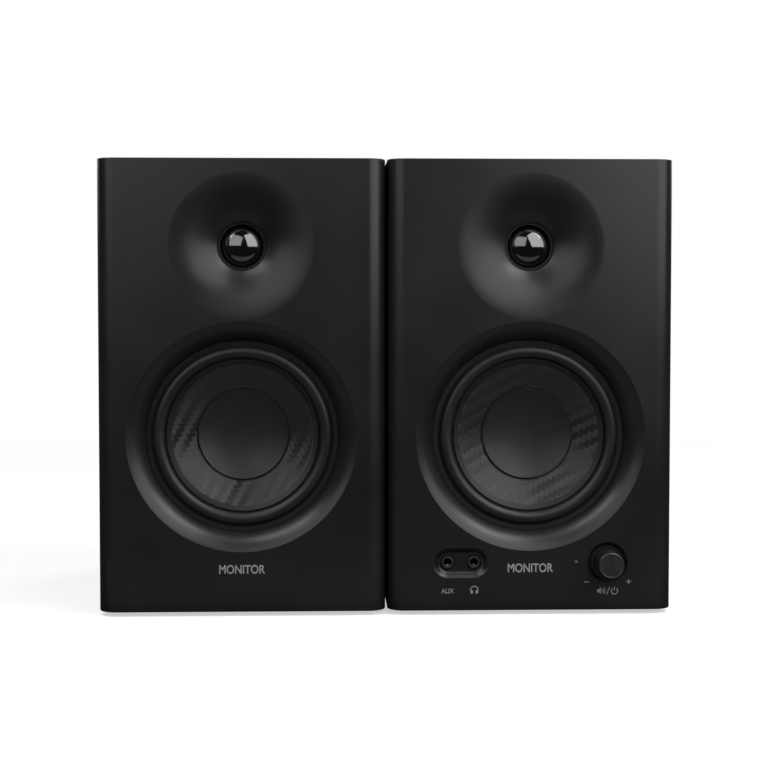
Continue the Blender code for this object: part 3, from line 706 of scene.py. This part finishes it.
def feet(speaker):
    inset = 0.016
    x_reach = CABINET_WIDTH / 2 - inset
    y_reach = (BACK_Y - FRONT_Y) / 2 - BAFFLE_DEPTH - inset
    middle_y = (FRONT_Y + BACK_Y) / 2
    top = FOOT_HEIGHT - FIT_GAP
    profile = [(0, 0), (0.006, 0, 0.0005), (0.0068, top, 0.0002), (0, top)]
    for row, y in (("front", middle_y - y_reach), ("rear", middle_y + y_reach)):
        for column, x in (("left", -x_reach), ("right", x_reach)):
            bm = turned(profile, SMALL)
            bmesh.ops.rotate(bm, verts=bm.verts, matrix=Matrix.Rotation(math.pi / 2, 3, "X"))
            pad = model(f"{speaker}_foot_pad_{row}_{column}", bm, (x, y, 0))
            node = f"{speaker}_foot_{row}_{column}"
            attach(pad, speaker, "foot_rubber", f"{speaker}_speaker", [node])


def port(speaker):
    inner_end = -0.070
    mouth = arc((0.0235, 0.0), 0.0085, math.pi, math.pi / 2 + 0.35, 14)
    tube = [(0.015, inner_end), *[(x, y - 0.0068) for x, y in mouth]]
    profile = [
        *tube, (0.0219, 0.0015, 0.0006), (0.025, 0.0013, 0.0005), (0.025, FIT_GAP),
        (0.0207, FIT_GAP), (0.0207, -0.003), (0.0173, -0.010), (0.0173, inner_end),
    ]
    tube = model(f"{speaker}_port_flare", turned(profile, MEDIUM), (0, BACK_Y, PORT_Z))
    attach(tube, speaker, "black", f"{speaker}_speaker", [f"{speaker}_port_tube"])


# Drive units


def surround_points():
    """The half roll, from its outer lip over the crown to the inner lip under the cone's edge."""
    centre = (ROLL_CENTRE, ROLL_DEPTH)
    outer = arc(centre, ROLL_RADIUS, 0, -math.pi, 28)
    inner = arc(centre, ROLL_RADIUS - RUBBER, -math.pi, 0, 28)
    return [
        (ROLL_OUTER, ROLL_DEPTH), *outer, (ROLL_CENTRE - ROLL_RADIUS, 0.0137), (ROLL_INNER, 0.0137),
        (ROLL_INNER, 0.0143), (ROLL_CENTRE - ROLL_RADIUS + RUBBER, 0.0143), *inner,
        (ROLL_CENTRE + ROLL_RADIUS - RUBBER, ROLL_DEPTH + RUBBER - 0.0001),
        (ROLL_OUTER, ROLL_DEPTH + RUBBER - 0.0001),
    ]


def spider_points():
    """A corrugated cloth ring between the coil former and the frame."""
    steps = 72
    front = []
    for i in range(steps + 1):
        t = i / steps
        radius = SPIDER_INNER + (SPIDER_OUTER - SPIDER_INNER) * t
        front.append((radius, SPIDER_DEPTH - SPIDER_WAVE * math.cos(6 * math.pi * t)))
    return front + [(radius, depth + SPIDER_CLOTH) for radius, depth in reversed(front)]


def bending_ring(name, points, look, speaker):
    """A flexible ring, turned about the woofer's axis, with its place baked into its mesh."""
    centre = Vector((SPEAKERS[speaker], WOOFER_Y, WOOFER_Z))
    ring = model(name, turned(points, LARGE), centre)
    ring.data.materials.append(MATERIALS[look])
    crisp(ring)
    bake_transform(ring)
    return ring


def suspension(speaker):
    roll = bending_ring(f"{speaker}_surround_roll", surround_points(), "rubber", speaker)
    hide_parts(f"{speaker}_woofer_surround")
    cloth = bending_ring(
        f"{speaker}_spider_ring", spider_points(), "cloth", speaker
    )
    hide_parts(f"{speaker}_woofer_spider")


def cone_points():
    steps = 16
    wall = []
    for i in range(steps + 1):
        t = i / steps
        radius = 0.0352 + (0.0136 - 0.0352) * t
        depth = 0.0133 + (0.0255 - 0.0133) * t + 0.0003 * math.sin(math.pi * t)
        wall.append((radius, depth))
    front = [(0.0381, 0.0124, 0.0002), (0.0357, 0.0131), *wall]
    back = [(point[0], point[1] + CONE_WALL) for point in reversed(front)]
    return front + back


def dust_cap_points():
    """A dish that steepens to a rounded rim, with a skirt down to the cone."""
    steps = 24
    radii = [CAP_RADIUS * i / steps for i in range(steps)]
    front = [(r, CAP_EDGE + CAP_DISH * (1 - (r / CAP_RADIUS) ** CAP_CURVE)) for r in radii]
    back = [(radius, depth + CAP_WALL) for radius, depth in reversed(front)]
    skirt = CAP_EDGE + 0.0011
    rim = [
        (CAP_RADIUS - 0.0004, CAP_EDGE + 0.0001, 0.0002), (CAP_RADIUS, CAP_EDGE, 0.0002),
        (CAP_RADIUS, skirt), (CAP_RADIUS - CAP_WALL, skirt),
    ]
    return front + rim + back


def woofer(speaker):
    place = (0, WOOFER_Y, WOOFER_Z)
    body, cone_body = f"{speaker}_speaker", f"{speaker}_woofer_assembly"
    # The trim bead is painted dark, as painted shade in the channel round the surround.
    trim = [(0.0458, 0.0128, 0.0001), (0.0482, 0.0126), (0.0482, 0.0133), (0.0458, 0.0133)]
    ring = model(f"{speaker}_trim_bead", turned(trim, LARGE), place)
    attach(ring, speaker, "seat", body, [f"{speaker}_woofer_trim_ring"])
    cone = model(f"{speaker}_woven_cone", turned(cone_points(), LARGE), place)
    two_tone(cone, f"weave_{speaker}", "trim", lambda p: from_axis(p) > 0.0356)
    attach(cone, speaker, None, cone_body, [f"{speaker}_woofer_cone"], sharp=25.0)
    cap = model(f"{speaker}_cap_dish", turned(dust_cap_points(), LARGE), place)
    attach(cap, speaker, "cap", cone_body, [f"{speaker}_woofer_dust_cap"])
    suspension(speaker)


def dome_points():
    """A spherical cap over a short coil former, open at the back."""
    ball = (DOME_RADIUS**2 + DOME_HEIGHT**2) / (2 * DOME_HEIGHT)
    centre = (0, DOME_EDGE - DOME_HEIGHT + ball)
    reach = math.asin(DOME_RADIUS / ball)
    back = 0.024
    outer = arc(centre, ball, -math.pi / 2, reach - math.pi / 2, 24)
    inner = arc(centre, ball - DOME_WALL, reach - math.pi / 2, -math.pi / 2, 24)
    outer[0] = (0, outer[0][1])
    inner[-1] = (0, inner[-1][1])
    return [*outer, (DOME_RADIUS, back), (inner[0][0], back), *inner]


def tweeter(speaker):
    place = (0, FRONT_Y, TWEETER_Z)
    collar = THROAT_RADIUS - FIT_GAP
    seat = BAFFLE_DEPTH + FIT_GAP
    flange = [
        (collar, 0.0094, 0.0002), (0.01185, 0.0094, 0.0001), (0.0116, 0.0104, 0.0002),
        (0.0112, 0.0104, 0.0001), (0.011, 0.0102, 0.0001), (0.0108, 0.0105, 0.0001),
        (0.0106, 0.0112), (0.0106, 0.0218), (0.022, 0.0218), (0.022, seat), (collar, seat),
    ]
    ring = model(f"{speaker}_tweeter_face_ring", turned(flange, LARGE), place)
    # The face ring is painted dark, as painted shade in the throat; its outer edge and a thin ridge keep the
    # lighter trim plastic, as painted thin highlights.
    two_tone(ring, "seat", "trim", lambda p: from_axis(p) > 0.0118 or 0.0109 < from_axis(p) < 0.0111)
    attach(ring, speaker, None, f"{speaker}_speaker", [f"{speaker}_tweeter_flange"])
    dome = model(f"{speaker}_tweeter_diaphragm_cap", turned(dome_points(), LARGE), place)
    nodes = [f"{speaker}_tweeter_dome"]
    attach(dome, speaker, "dome", f"{speaker}_tweeter_diaphragm", nodes)


# Front controls


def volume_knob():
    profile = [
        (0, 0.00025 - KNOB_PROUD), (KNOB_RADIUS - 0.0009, 0.00025 - KNOB_PROUD, 0.0002),
        (KNOB_RADIUS - 0.0006, -KNOB_PROUD, 0.0002), (KNOB_RADIUS, 0.0006 - KNOB_PROUD, 0.0003),
        (KNOB_RADIUS, KNOB_BACK, 0.0002), (SHAFT_BORE, KNOB_BACK), (SHAFT_BORE, -0.0085),
        (0, -0.0085),
    ]
    cap = model("volume_knob_cap", turned(profile, MEDIUM), (KNOB_X, FRONT_Y, CONTROL_Z))
    # The knob's side is painted darker than its face, as painted shade.
    two_tone(cap, "knob", "seat", lambda p: p.y > 0.0007 - KNOB_PROUD and from_axis(p) > SHAFT_BORE)
    attach(cap, "active", None, "volume_control", ["volume_knob"])


def front_jacks():
    """Each socket has a moulded body behind the baffle, a bushing with a round rim, and a contact inside."""
    rear = BAFFLE_DEPTH + FIT_GAP
    lip = JACK_RECESS_DEPTH - 0.0008
    for name, x in JACK_XS.items():
        place = Vector((x, FRONT_Y, CONTROL_Z))
        body = model(f"{name}_jack_body", centred_block(0.009, 0.010, rear, rear + 0.012, 0.0004), place)
        tube = [
            (0, lip),
            (JACK_RADIUS - 0.0004, lip, 0.0003),
            (JACK_RADIUS, lip + 0.0006, 0.0003),
            (JACK_RADIUS, rear + 0.001),
            (0, rear + 0.001),
        ]
        carve(body, turned(tube, SMALL), place, "UNION")
        end = rear + 0.009
        hole = [(0, 0), (0.0024, 0), (0.0024, lip), (0.0018, lip + 0.0006, 0.0002), (0.0018, end), (0, end)]
        carve(body, turned(hole, SMALL), place)
        attach(body, "active", "socket", "active_speaker", [f"{name}_jack"])
        contact = block((-0.0006, lip + 0.0010, -0.0017), (0.0006, lip + 0.0085, -0.0010), 0.0002)
        spring = model(f"{name}_jack_contact", contact, place)
        attach(spring, "active", "nickel", "active_speaker")


def status_led():
    lens = [
        (0, -0.0002), (LED_RADIUS * 0.55, -0.00016), (LED_RADIUS, 0.0001, 0.0002),
        (LED_RADIUS, 0.012), (0, 0.012),
    ]
    lamp = model("status_led_lens", turned(lens, SMALL), (LED_X, FRONT_Y, CONTROL_Z))
    attach(lamp, "active", "lens", "active_speaker", ["status_led"])


# Printing


def legend(name, text, width, height, x, z, speaker, rear=False, weight=0.0):
    """Printed letters, fitted to a width and a height about their middle."""
    curve = bpy.data.curves.new(name, "FONT")
    curve.body, curve.size, curve.offset = text, 1.0, weight
    curve.extrude = 0.1
    source = bpy.data.objects.new(name, curve)
    show(source)
    bpy.context.view_layer.update()
    mesh = bpy.data.meshes.new_from_object(source)
    bpy.data.objects.remove(source, do_unlink=True)
    low = Vector([min(v.co[i] for v in mesh.vertices) for i in range(3)])
    high = Vector([max(v.co[i] for v in mesh.vertices) for i in range(3)])
    size, middle = high - low, (high + low) / 2
    turn = math.pi if rear else 0.0
    fit = Matrix.Diagonal((width / size.x, height / size.y, PRINT_THICKNESS / size.z, 1.0))
    stand = Matrix.Rotation(turn, 4, "Z") @ Matrix.Rotation(math.pi / 2, 4, "X")
    mesh.transform(stand @ fit @ Matrix.Translation(-middle))
    mesh.name = name
    printed = bpy.data.objects.new(name, mesh)
    show(printed)
    return print_on(printed, x, z, speaker, rear)


def print_on(printed, x, z, speaker, rear=False):
    y = BACK_Y + PRINT_THICKNESS / 2 if rear else FRONT_Y - PRINT_THICKNESS / 2
    printed.location = (x, y, z)
    printed.data.materials.clear()
    printed.data.materials.append(MATERIALS["print"])
    printed.location.x += SPEAKERS[speaker]
    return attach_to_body(printed, f"{speaker}_speaker")


def stroke(points, width):
    """The outline of a line of even width along (x, z) points."""
    left, right = [], []
    for i, point in enumerate(points):
        before = Vector(points[max(i - 1, 0)])
        after = Vector(points[min(i + 1, len(points) - 1)])
        side = (after - before).normalized().orthogonal() * width / 2
        left.append(tuple(Vector(point) + side))
        right.append(tuple(Vector(point) - side))
    return left + right[::-1]


def symbol(name, outlines, x, z, speaker="active"):
    """A printed symbol made of several closed (x, z) outlines."""
    half = PRINT_THICKNESS / 2
    bm = bmesh.new()
    for outline in outlines:
        face = bm.faces.new([bm.verts.new((a, -half, b)) for a, b in outline])
        moved = bmesh.ops.extrude_face_region(bm, geom=[face])["geom"]
        new = [v for v in moved if isinstance(v, bmesh.types.BMVert)]
        bmesh.ops.translate(bm, vec=(0, PRINT_THICKNESS, 0), verts=new)
    return print_on(model(name, bm), x, z, speaker)


def front_symbols():
    bar = [(-0.00125, -0.00022), (0.00125, -0.00022), (0.00125, 0.00022), (-0.00125, 0.00022)]
    upright = [(-0.00022, 0.00022), (0.00022, 0.00022), (0.00022, 0.00125), (-0.00022, 0.00125)]
    downward = [(x, -z) for x, z in upright]
    symbol("minus_sign_print", [bar], 0.0283, 0.0161)
    symbol("plus_sign_print", [bar, upright, downward], 0.0497, 0.0162)
    band = stroke(arc((0, -0.0002), 0.0019, math.radians(-8), math.radians(188), 24), 0.0005)
    pads = []
    for side in (-1, 1):
        pad = arc((side * 0.0013, -0.0011), 0.00065, 0, 2 * math.pi * 15 / 16, 15)
        pads.append([(x, -0.0011 + (z + 0.0011) * 1.5) for x, z in pad])
    symbol("headphones_print", [band, *pads], -0.02825, 0.0125)
    horn_lower = [(-0.0054, -0.0007), (-0.0046, -0.0007), (-0.0034, -0.0018)]
    horn = horn_lower + [(x, -z) for x, z in reversed(horn_lower)]
    waves = [
        stroke(arc((-0.0034, 0), radius, math.radians(-48), math.radians(48), 10), 0.00042)
        for radius in (0.0010, 0.0019)
    ]
    slash = stroke([(-0.0006, -0.0019), (0.0010, 0.0019)], 0.0004)
    ring = stroke(arc((0.0034, -0.0001), 0.0016, math.radians(130), math.radians(410), 28), 0.00045)
    stem = [(0.0032, 0.0001), (0.0036, 0.0001), (0.0036, 0.0021), (0.0032, 0.0021)]
    symbol("volume_power_print", [horn, *waves, slash, ring, stem], 0.0391, 0.0116)


def front_legends():
    for speaker in SPEAKERS:
        legend(f"{speaker}_monitor_print", "MONITOR", 0.0229, 0.0045, 0.0, 0.0234, speaker, weight=0.022)
    legend("aux_print", "AUX", 0.0063, 0.0025, -0.0417, 0.0119, "active", weight=0.01)
    front_symbols()


# Rear


def rear_panel():
    place = Vector((0, BACK_Y, PANEL_Z))
    plate = centred_block(PANEL_WIDTH, PANEL_HEIGHT, -PANEL_THICKNESS, 0, 0.0003)
    panel = model("amplifier_panel_plate", plate, place)
    rounds = [(x, TONE_Z, 0.0032) for x in TONE_XS.values()]
    rounds += [(x, BALANCED_Z, 0.0059) for x in BALANCED_XS.values()]
    rounds += [(x, LINE_Z, 0.0045) for x in LINE_XS]
    for x, z, radius in rounds:
        carve(panel, turned(rod(radius, -0.004, OVERCUT), SMALL), (x, BACK_Y, z))
    carve(panel, centred_block(0.0206, 0.0126, -0.004, OVERCUT), (0, BACK_Y, INLET_Z))
    width, height = TERMINAL_BOX_WIDTH + 2 * FIT_GAP, TERMINAL_BOX_HEIGHT + 2 * FIT_GAP
    carve(panel, centred_block(width, height, -0.004, OVERCUT), (0, BACK_Y, TERMINAL_ZS["active"]))
    attach(panel, "active", "panel", "active_speaker", ["rear_panel"])


def screw(name, x, z, speaker, radius=0.0026, base=0.0):
    """A pan-head screw with a cross recess."""
    head = [
        (0, base + 0.0013), (radius * 0.5, base + 0.0012), (radius * 0.85, base + 0.0008, 0.0003),
        (radius, base + 0.00005), (0, base + 0.00005),
    ]
    place = (x, BACK_Y, z)
    piece = model(name, turned(head, 32), place)
    for long, short in ((0.0030, 0.0007), (0.0007, 0.0030)):
        carve(piece, centred_block(long, short, base + 0.0006, base + 0.003), place)
    attach(piece, speaker, "basket", f"{speaker}_speaker")


def tone_knobs():
    profile = [
        (0, TONE_PROUD - 0.0002), (0.0052, TONE_PROUD - 0.0002, 0.0002),
        (0.0058, TONE_PROUD, 0.0003), (0.0064, TONE_PROUD - 0.0008, 0.0003),
        (0.0068, 0.0012, 0.0003), (0.0025, 0.0012), (0.0025, -0.010), (0, -0.010),
    ]
    for name, x in TONE_XS.items():
        place = Vector((x, BACK_Y, TONE_Z))
        knob = model(f"{name}_knob_cap", turned(profile, MEDIUM), place)
        for flute in range(18):
            groove = turned(rod(0.00042, 0.0024, 0.0088), 10)
            angle = 2 * math.pi * (flute + 0.5) / 18
            offset = Vector((0.0068 * math.cos(angle), 0, 0.0068 * math.sin(angle)))
            carve(knob, groove, place + offset)
        pointer = block((-0.00035, TONE_PROUD - 0.0006, 0.0018), (0.00035, TONE_PROUD + 0.001, 0.0066))
        carve(knob, pointer, place)
        attach(knob, "active", "black", f"{name}_control", [f"{name}_knob"])


def balanced_jacks():
    behind = -PANEL_THICKNESS - FIT_GAP
    for side, x in BALANCED_XS.items():
        place = (x, BACK_Y, BALANCED_Z)
        housing = centred_block(0.016, 0.016, -0.026, behind, 0.0005)
        jack = model(f"balanced_socket_{side}", housing, place)
        carve(jack, turned(rod(0.0055, behind - 0.001, 0.0034, 0.0004), SMALL), place, "UNION")
        nut = turned(rod(0.0075, FIT_GAP, 0.0024), 6)
        sides = [e for e in nut.edges if e.calc_length() < 0.009]
        bmesh.ops.bevel(nut, geom=sides, offset=0.0003, segments=2, profile=0.5, affect="EDGES")
        carve(jack, nut, place, "UNION")
        hole = flared_bore(0.0034, -0.023, 0.0028, 0.0040, 0.0036, 0.005)
        carve(jack, turned(hole, SMALL), place)
        attach(jack, "active", "nickel", "active_speaker", [f"balanced_jack_{side}"])


def line_sockets():
    place = Vector((0, BACK_Y, LINE_Z))
    behind = -PANEL_THICKNESS - FIT_GAP
    body = model("line_socket_block", centred_block(0.040, 0.016, -0.015, behind, 0.0005), place)
    for x in LINE_XS:
        spot = place + Vector((x, 0, 0))
        carve(body, turned(rod(0.0041, -0.004, 0.008, 0.0005), SMALL), spot, "UNION")
        hole = flared_bore(0.0016, -0.008, 0.0075, 0.0020, 0.0082, 0.009)
        carve(body, turned(hole, SMALL), spot)
    attach(body, "active", "nickel", "active_speaker", ["line_input_block"])


def power_inlet():
    place = Vector((0, BACK_Y, INLET_Z))
    inlet = model("power_inlet_shroud", centred_block(0.030, 0.0165, FIT_GAP, 0.0023, 0.0004), place)
    carve(inlet, centred_block(0.020, 0.012, -0.018, 0.001), place, "UNION")
    rings = []
    for grow, depth in ((0.0008, 0.004), (0.0008, 0.0023), (0.0003, 0.0017), (0.0, 0.0010), (0.0, -0.010)):
        outline = stadium(0.0155 + grow, 0.0084 + grow, 16)
        rings.append([(x, depth, z) for x, z in outline])
    carve(inlet, lofted(rings), place)
    attach(inlet, "active", "socket", "active_speaker", ["power_inlet"])
    for side, x in (("left", -0.0043), ("right", 0.0043)):
        pin = turned(rod(0.0012, -0.0105, -0.001, 0.0006), 24)
        piece = model(f"inlet_pin_{side}", pin, place + Vector((x, 0, 0)))
        attach(piece, "active", "nickel", "active_speaker")


def terminal(speaker):
    place = Vector((0, BACK_Y, TERMINAL_ZS[speaker]))
    rim = centred_block(TERMINAL_WIDTH, TERMINAL_HEIGHT, FIT_GAP, 0.0023, 0.0004)
    cup = model(f"{speaker}_terminal_moulding", rim, place)
    carve(cup, centred_block(TERMINAL_BOX_WIDTH, TERMINAL_BOX_HEIGHT, -0.014, 0.001), place, "UNION")
    for colour, x in LEVER_XS.items():
        carve(cup, block((x - 0.0048, -0.0095, -0.0085), (x + 0.0048, 0.004, 0.009)), place)
        wire = turned(flared_bore(0.0012, -0.008, 0.0018, 0.0016, 0.0024, 0.004), 24)
        carve(cup, wire, place + Vector((x, 0, -0.0102)))
        lever(speaker, colour, x, place)
    attach(cup, speaker, "socket", f"{speaker}_speaker", [f"{speaker}_terminal_cup"])


def lever(speaker, colour, x, terminal_place):
    """A wedge-shaped tab with finger ribs."""
    side = [
        (-0.002, 0.0073, 0.0004), (0.0015, 0.0073, 0.0006), (0.0022, 0.005, 0.0005),
        (0.0044, -0.004, 0.0006), (0.0044, -0.007, 0.0006), (0.001, -0.007, 0.0003),
        (-0.002, 0.003, 0.0003),
    ]
    half = LEVER_WIDTH / 2
    tab = extruded(rounded(side, True), -half, half, lambda p, level: (level, p[0], p[1]))
    rims = [e for e in tab.edges if abs(e.verts[0].co.x - e.verts[1].co.x) < 1e-6]
    bmesh.ops.bevel(tab, geom=rims, offset=0.0003, segments=2, profile=0.5, affect="EDGES")
    place = terminal_place + Vector((x, 0, 0))
    piece = model(f"{speaker}_{colour}_clip", tab, place)
    for z in (-0.0035, -0.0045, -0.0055):
        carve(piece, block((-0.0032, 0.0040, z - 0.0002), (0.0032, 0.006, z + 0.0002)), place)
    node = f"{speaker}_terminal_lever_{colour}"
    attach(piece, speaker, colour, f"{speaker}_lever_{colour}", [node])


def rear_fixings():
    reach_x, reach_z = PANEL_WIDTH / 2 - 0.0045, PANEL_HEIGHT / 2 - 0.0045
    spots = [(x, z) for x in (-reach_x, reach_x) for z in (-reach_z, 0.0, reach_z)]
    for index, (x, z) in enumerate(spots):
        screw(f"panel_screw_{index + 1}", x, PANEL_Z + z, "active")
    for speaker in SPEAKERS:
        for side, x in (("left", -0.0205), ("right", 0.0205)):
            z = TERMINAL_ZS[speaker]
            screw(f"{speaker}_terminal_screw_{side}", x, z + 0.0122, speaker, 0.0014, 0.0023)


def rear_legends():
    rows = [
        ("treble_print", "TREBLE", 0.0110, -0.022, TONE_Z - 0.0115),
        ("bass_print", "BASS", 0.0074, 0.022, TONE_Z - 0.0115),
        ("balanced_print", "BALANCED", 0.0150, 0.0, BALANCED_Z),
        ("line_print", "LINE", 0.0066, 0.0, LINE_Z),
        ("left_print", "L", 0.0012, -0.0245, LINE_Z),
        ("right_print", "R", 0.0015, 0.0245, LINE_Z),
        ("output_print", "OUTPUT", 0.0110, 0.0345, TERMINAL_ZS["active"]),
    ]
    for name, text, width, x, z in rows:
        legend(name, text, width, 0.0021, x, z, "active", rear=True, weight=0.008)


# Carried-over CAD pieces

CARRIED = {
    "woofer_basket": "basket",
    "woofer_voice_coil": "coil",
    "woofer_magnet": "ferrite",
    "woofer_yoke": "steel",
    "tweeter_magnet": "ferrite",
}


def finish_carried():
    """The pieces inside the cabinets keep their CAD shape and get finished surfaces."""
    finishes = {f"{s}_{node}": look for s in SPEAKERS for node, look in CARRIED.items()}
    finishes |= {
        "encoder_shaft": "steel",
        "encoder_body": "steel",
        "encoder_plunger": "black",
        "amplifier_board": "amplifier",
        "crossover_board": "crossover",
    }
    for node, look in finishes.items():
        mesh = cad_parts[node].data
        mesh.materials.clear()
        mesh.materials.append(MATERIALS[look])


# Stage


def softbox(name, place, target, width, height, strength):
    """An area light of even brightness, aimed at a point and hidden from the camera."""
    data = bpy.data.lights.new(name, "AREA")
    data.shape, data.size, data.size_y = "RECTANGLE", width, height
    data.energy = strength * math.pi * width * height
    lamp = bpy.data.objects.new(name, data)
    show(lamp)
    lamp.location = place
    lamp.rotation_euler = (Vector(target) - Vector(place)).to_track_quat("-Z", "Y").to_euler()
    lamp.visible_camera = False


def lighting():
    middle = (0, FRONT_Y, 0.17)
    softbox("key_right", (0.324, -0.379, 0.427), middle, 0.604, 0.582, 2.14)
    softbox("fill_left", (-0.396, -0.626, 0.487), middle, 0.745, 0.58, 1.27)
    softbox("side_right", (0.424, -0.161, 0.722), middle, 0.298, 0.51, 4.2)
    softbox("side_left", (-0.424, -0.161, 0.722), middle, 0.298, 0.51, 4.4)
    softbox("overhead", (0.0, -0.169, 0.966), middle, 0.924, 0.34, 1.15)
    softbox("table_glow", (0.0, -0.17, 0.001), (0.0, -0.17, 1.0), 0.6, 0.13, 0.17)
    softbox("rear_right", (0.55, 0.75, 0.6), (0, BACK_Y, 0.1), 0.7, 0.7, 2.2)
    softbox("rear_left", (-0.6, 0.7, 0.55), (0, BACK_Y, 0.1), 0.6, 0.6, 2.0)


def white_floor():
    """A pale disc that fades into the white surroundings, and takes only a soft shadow."""
    made, tree, shader = principled("pale_floor", (0.8, 0.8, 0.8), 0.6)
    shader.inputs["Specular IOR Level"].default_value = 0.0
    distance = radius_over(tree, "X", "Y")
    glow = spread(tree, distance, 0.55, 1.0, 0.25, 1.1)
    share = spread(tree, distance, 0.6, 0.0, 0.25, 1.1)
    grey = tree.nodes.new("ShaderNodeCombineColor")
    for channel in ("Red", "Green", "Blue"):
        tree.links.new(share, grey.inputs[channel])
    tree.links.new(grey.outputs["Color"], shader.inputs["Base Color"])
    shader.inputs["Emission Color"].default_value = (1, 1, 1, 1)
    tree.links.new(glow, shader.inputs["Emission Strength"])
    bm = bmesh.new()
    bmesh.ops.create_circle(bm, cap_ends=True, segments=128, radius=4.0)
    floor = model("floor", bm)
    floor.data.materials.append(made)
    floor.location.z = -0.0002
    floor.visible_glossy = floor.visible_diffuse = False


def white_surroundings():
    """White where the camera sees past the object, and nearly dark to the object itself."""
    world = bpy.data.worlds.new("surroundings")
    bpy.context.scene.world = world
    world.use_nodes = True
    tree = world.node_tree
    seen = tree.nodes["Background"]
    seen.inputs["Color"].default_value = (1, 1, 1, 1)
    unseen = tree.nodes.new("ShaderNodeBackground")
    unseen.inputs["Color"].default_value = (0.025, 0.025, 0.025, 1)
    mix = tree.nodes.new("ShaderNodeMixShader")
    path = tree.nodes.new("ShaderNodeLightPath")
    tree.links.new(path.outputs["Is Camera Ray"], mix.inputs["Fac"])
    tree.links.new(unseen.outputs["Background"], mix.inputs[1])
    tree.links.new(seen.outputs["Background"], mix.inputs[2])
    tree.links.new(mix.outputs["Shader"], tree.nodes["World Output"].inputs["Surface"])


def camera():
    data = bpy.data.cameras.new("camera")
    data.lens, data.sensor_width = 80.1, 36.0
    data.clip_start, data.clip_end = 0.05, 20.0
    lens = bpy.data.objects.new("camera", data)
    show(lens)
    lens.location = (-0.0319, -0.936, 0.1552)
    lens.rotation_euler = (math.radians(90 - 2.64), 0, math.radians(-2.057))
    bpy.context.scene.camera = lens


def main():
    bpy.context.scene.view_settings.view_transform = "Standard"
    for speaker in SPEAKERS:
        baffle(speaker)
        cabinet(speaker)
        feet(speaker)
        port(speaker)
        woofer(speaker)
        tweeter(speaker)
        terminal(speaker)
    volume_knob()
    front_jacks()
    status_led()
    front_legends()
    rear_panel()
    tone_knobs()
    balanced_jacks()
    line_sockets()
    power_inlet()
    rear_fixings()
    rear_legends()
    finish_carried()
    lighting()
    white_floor()
    white_surroundings()
    camera()


main()
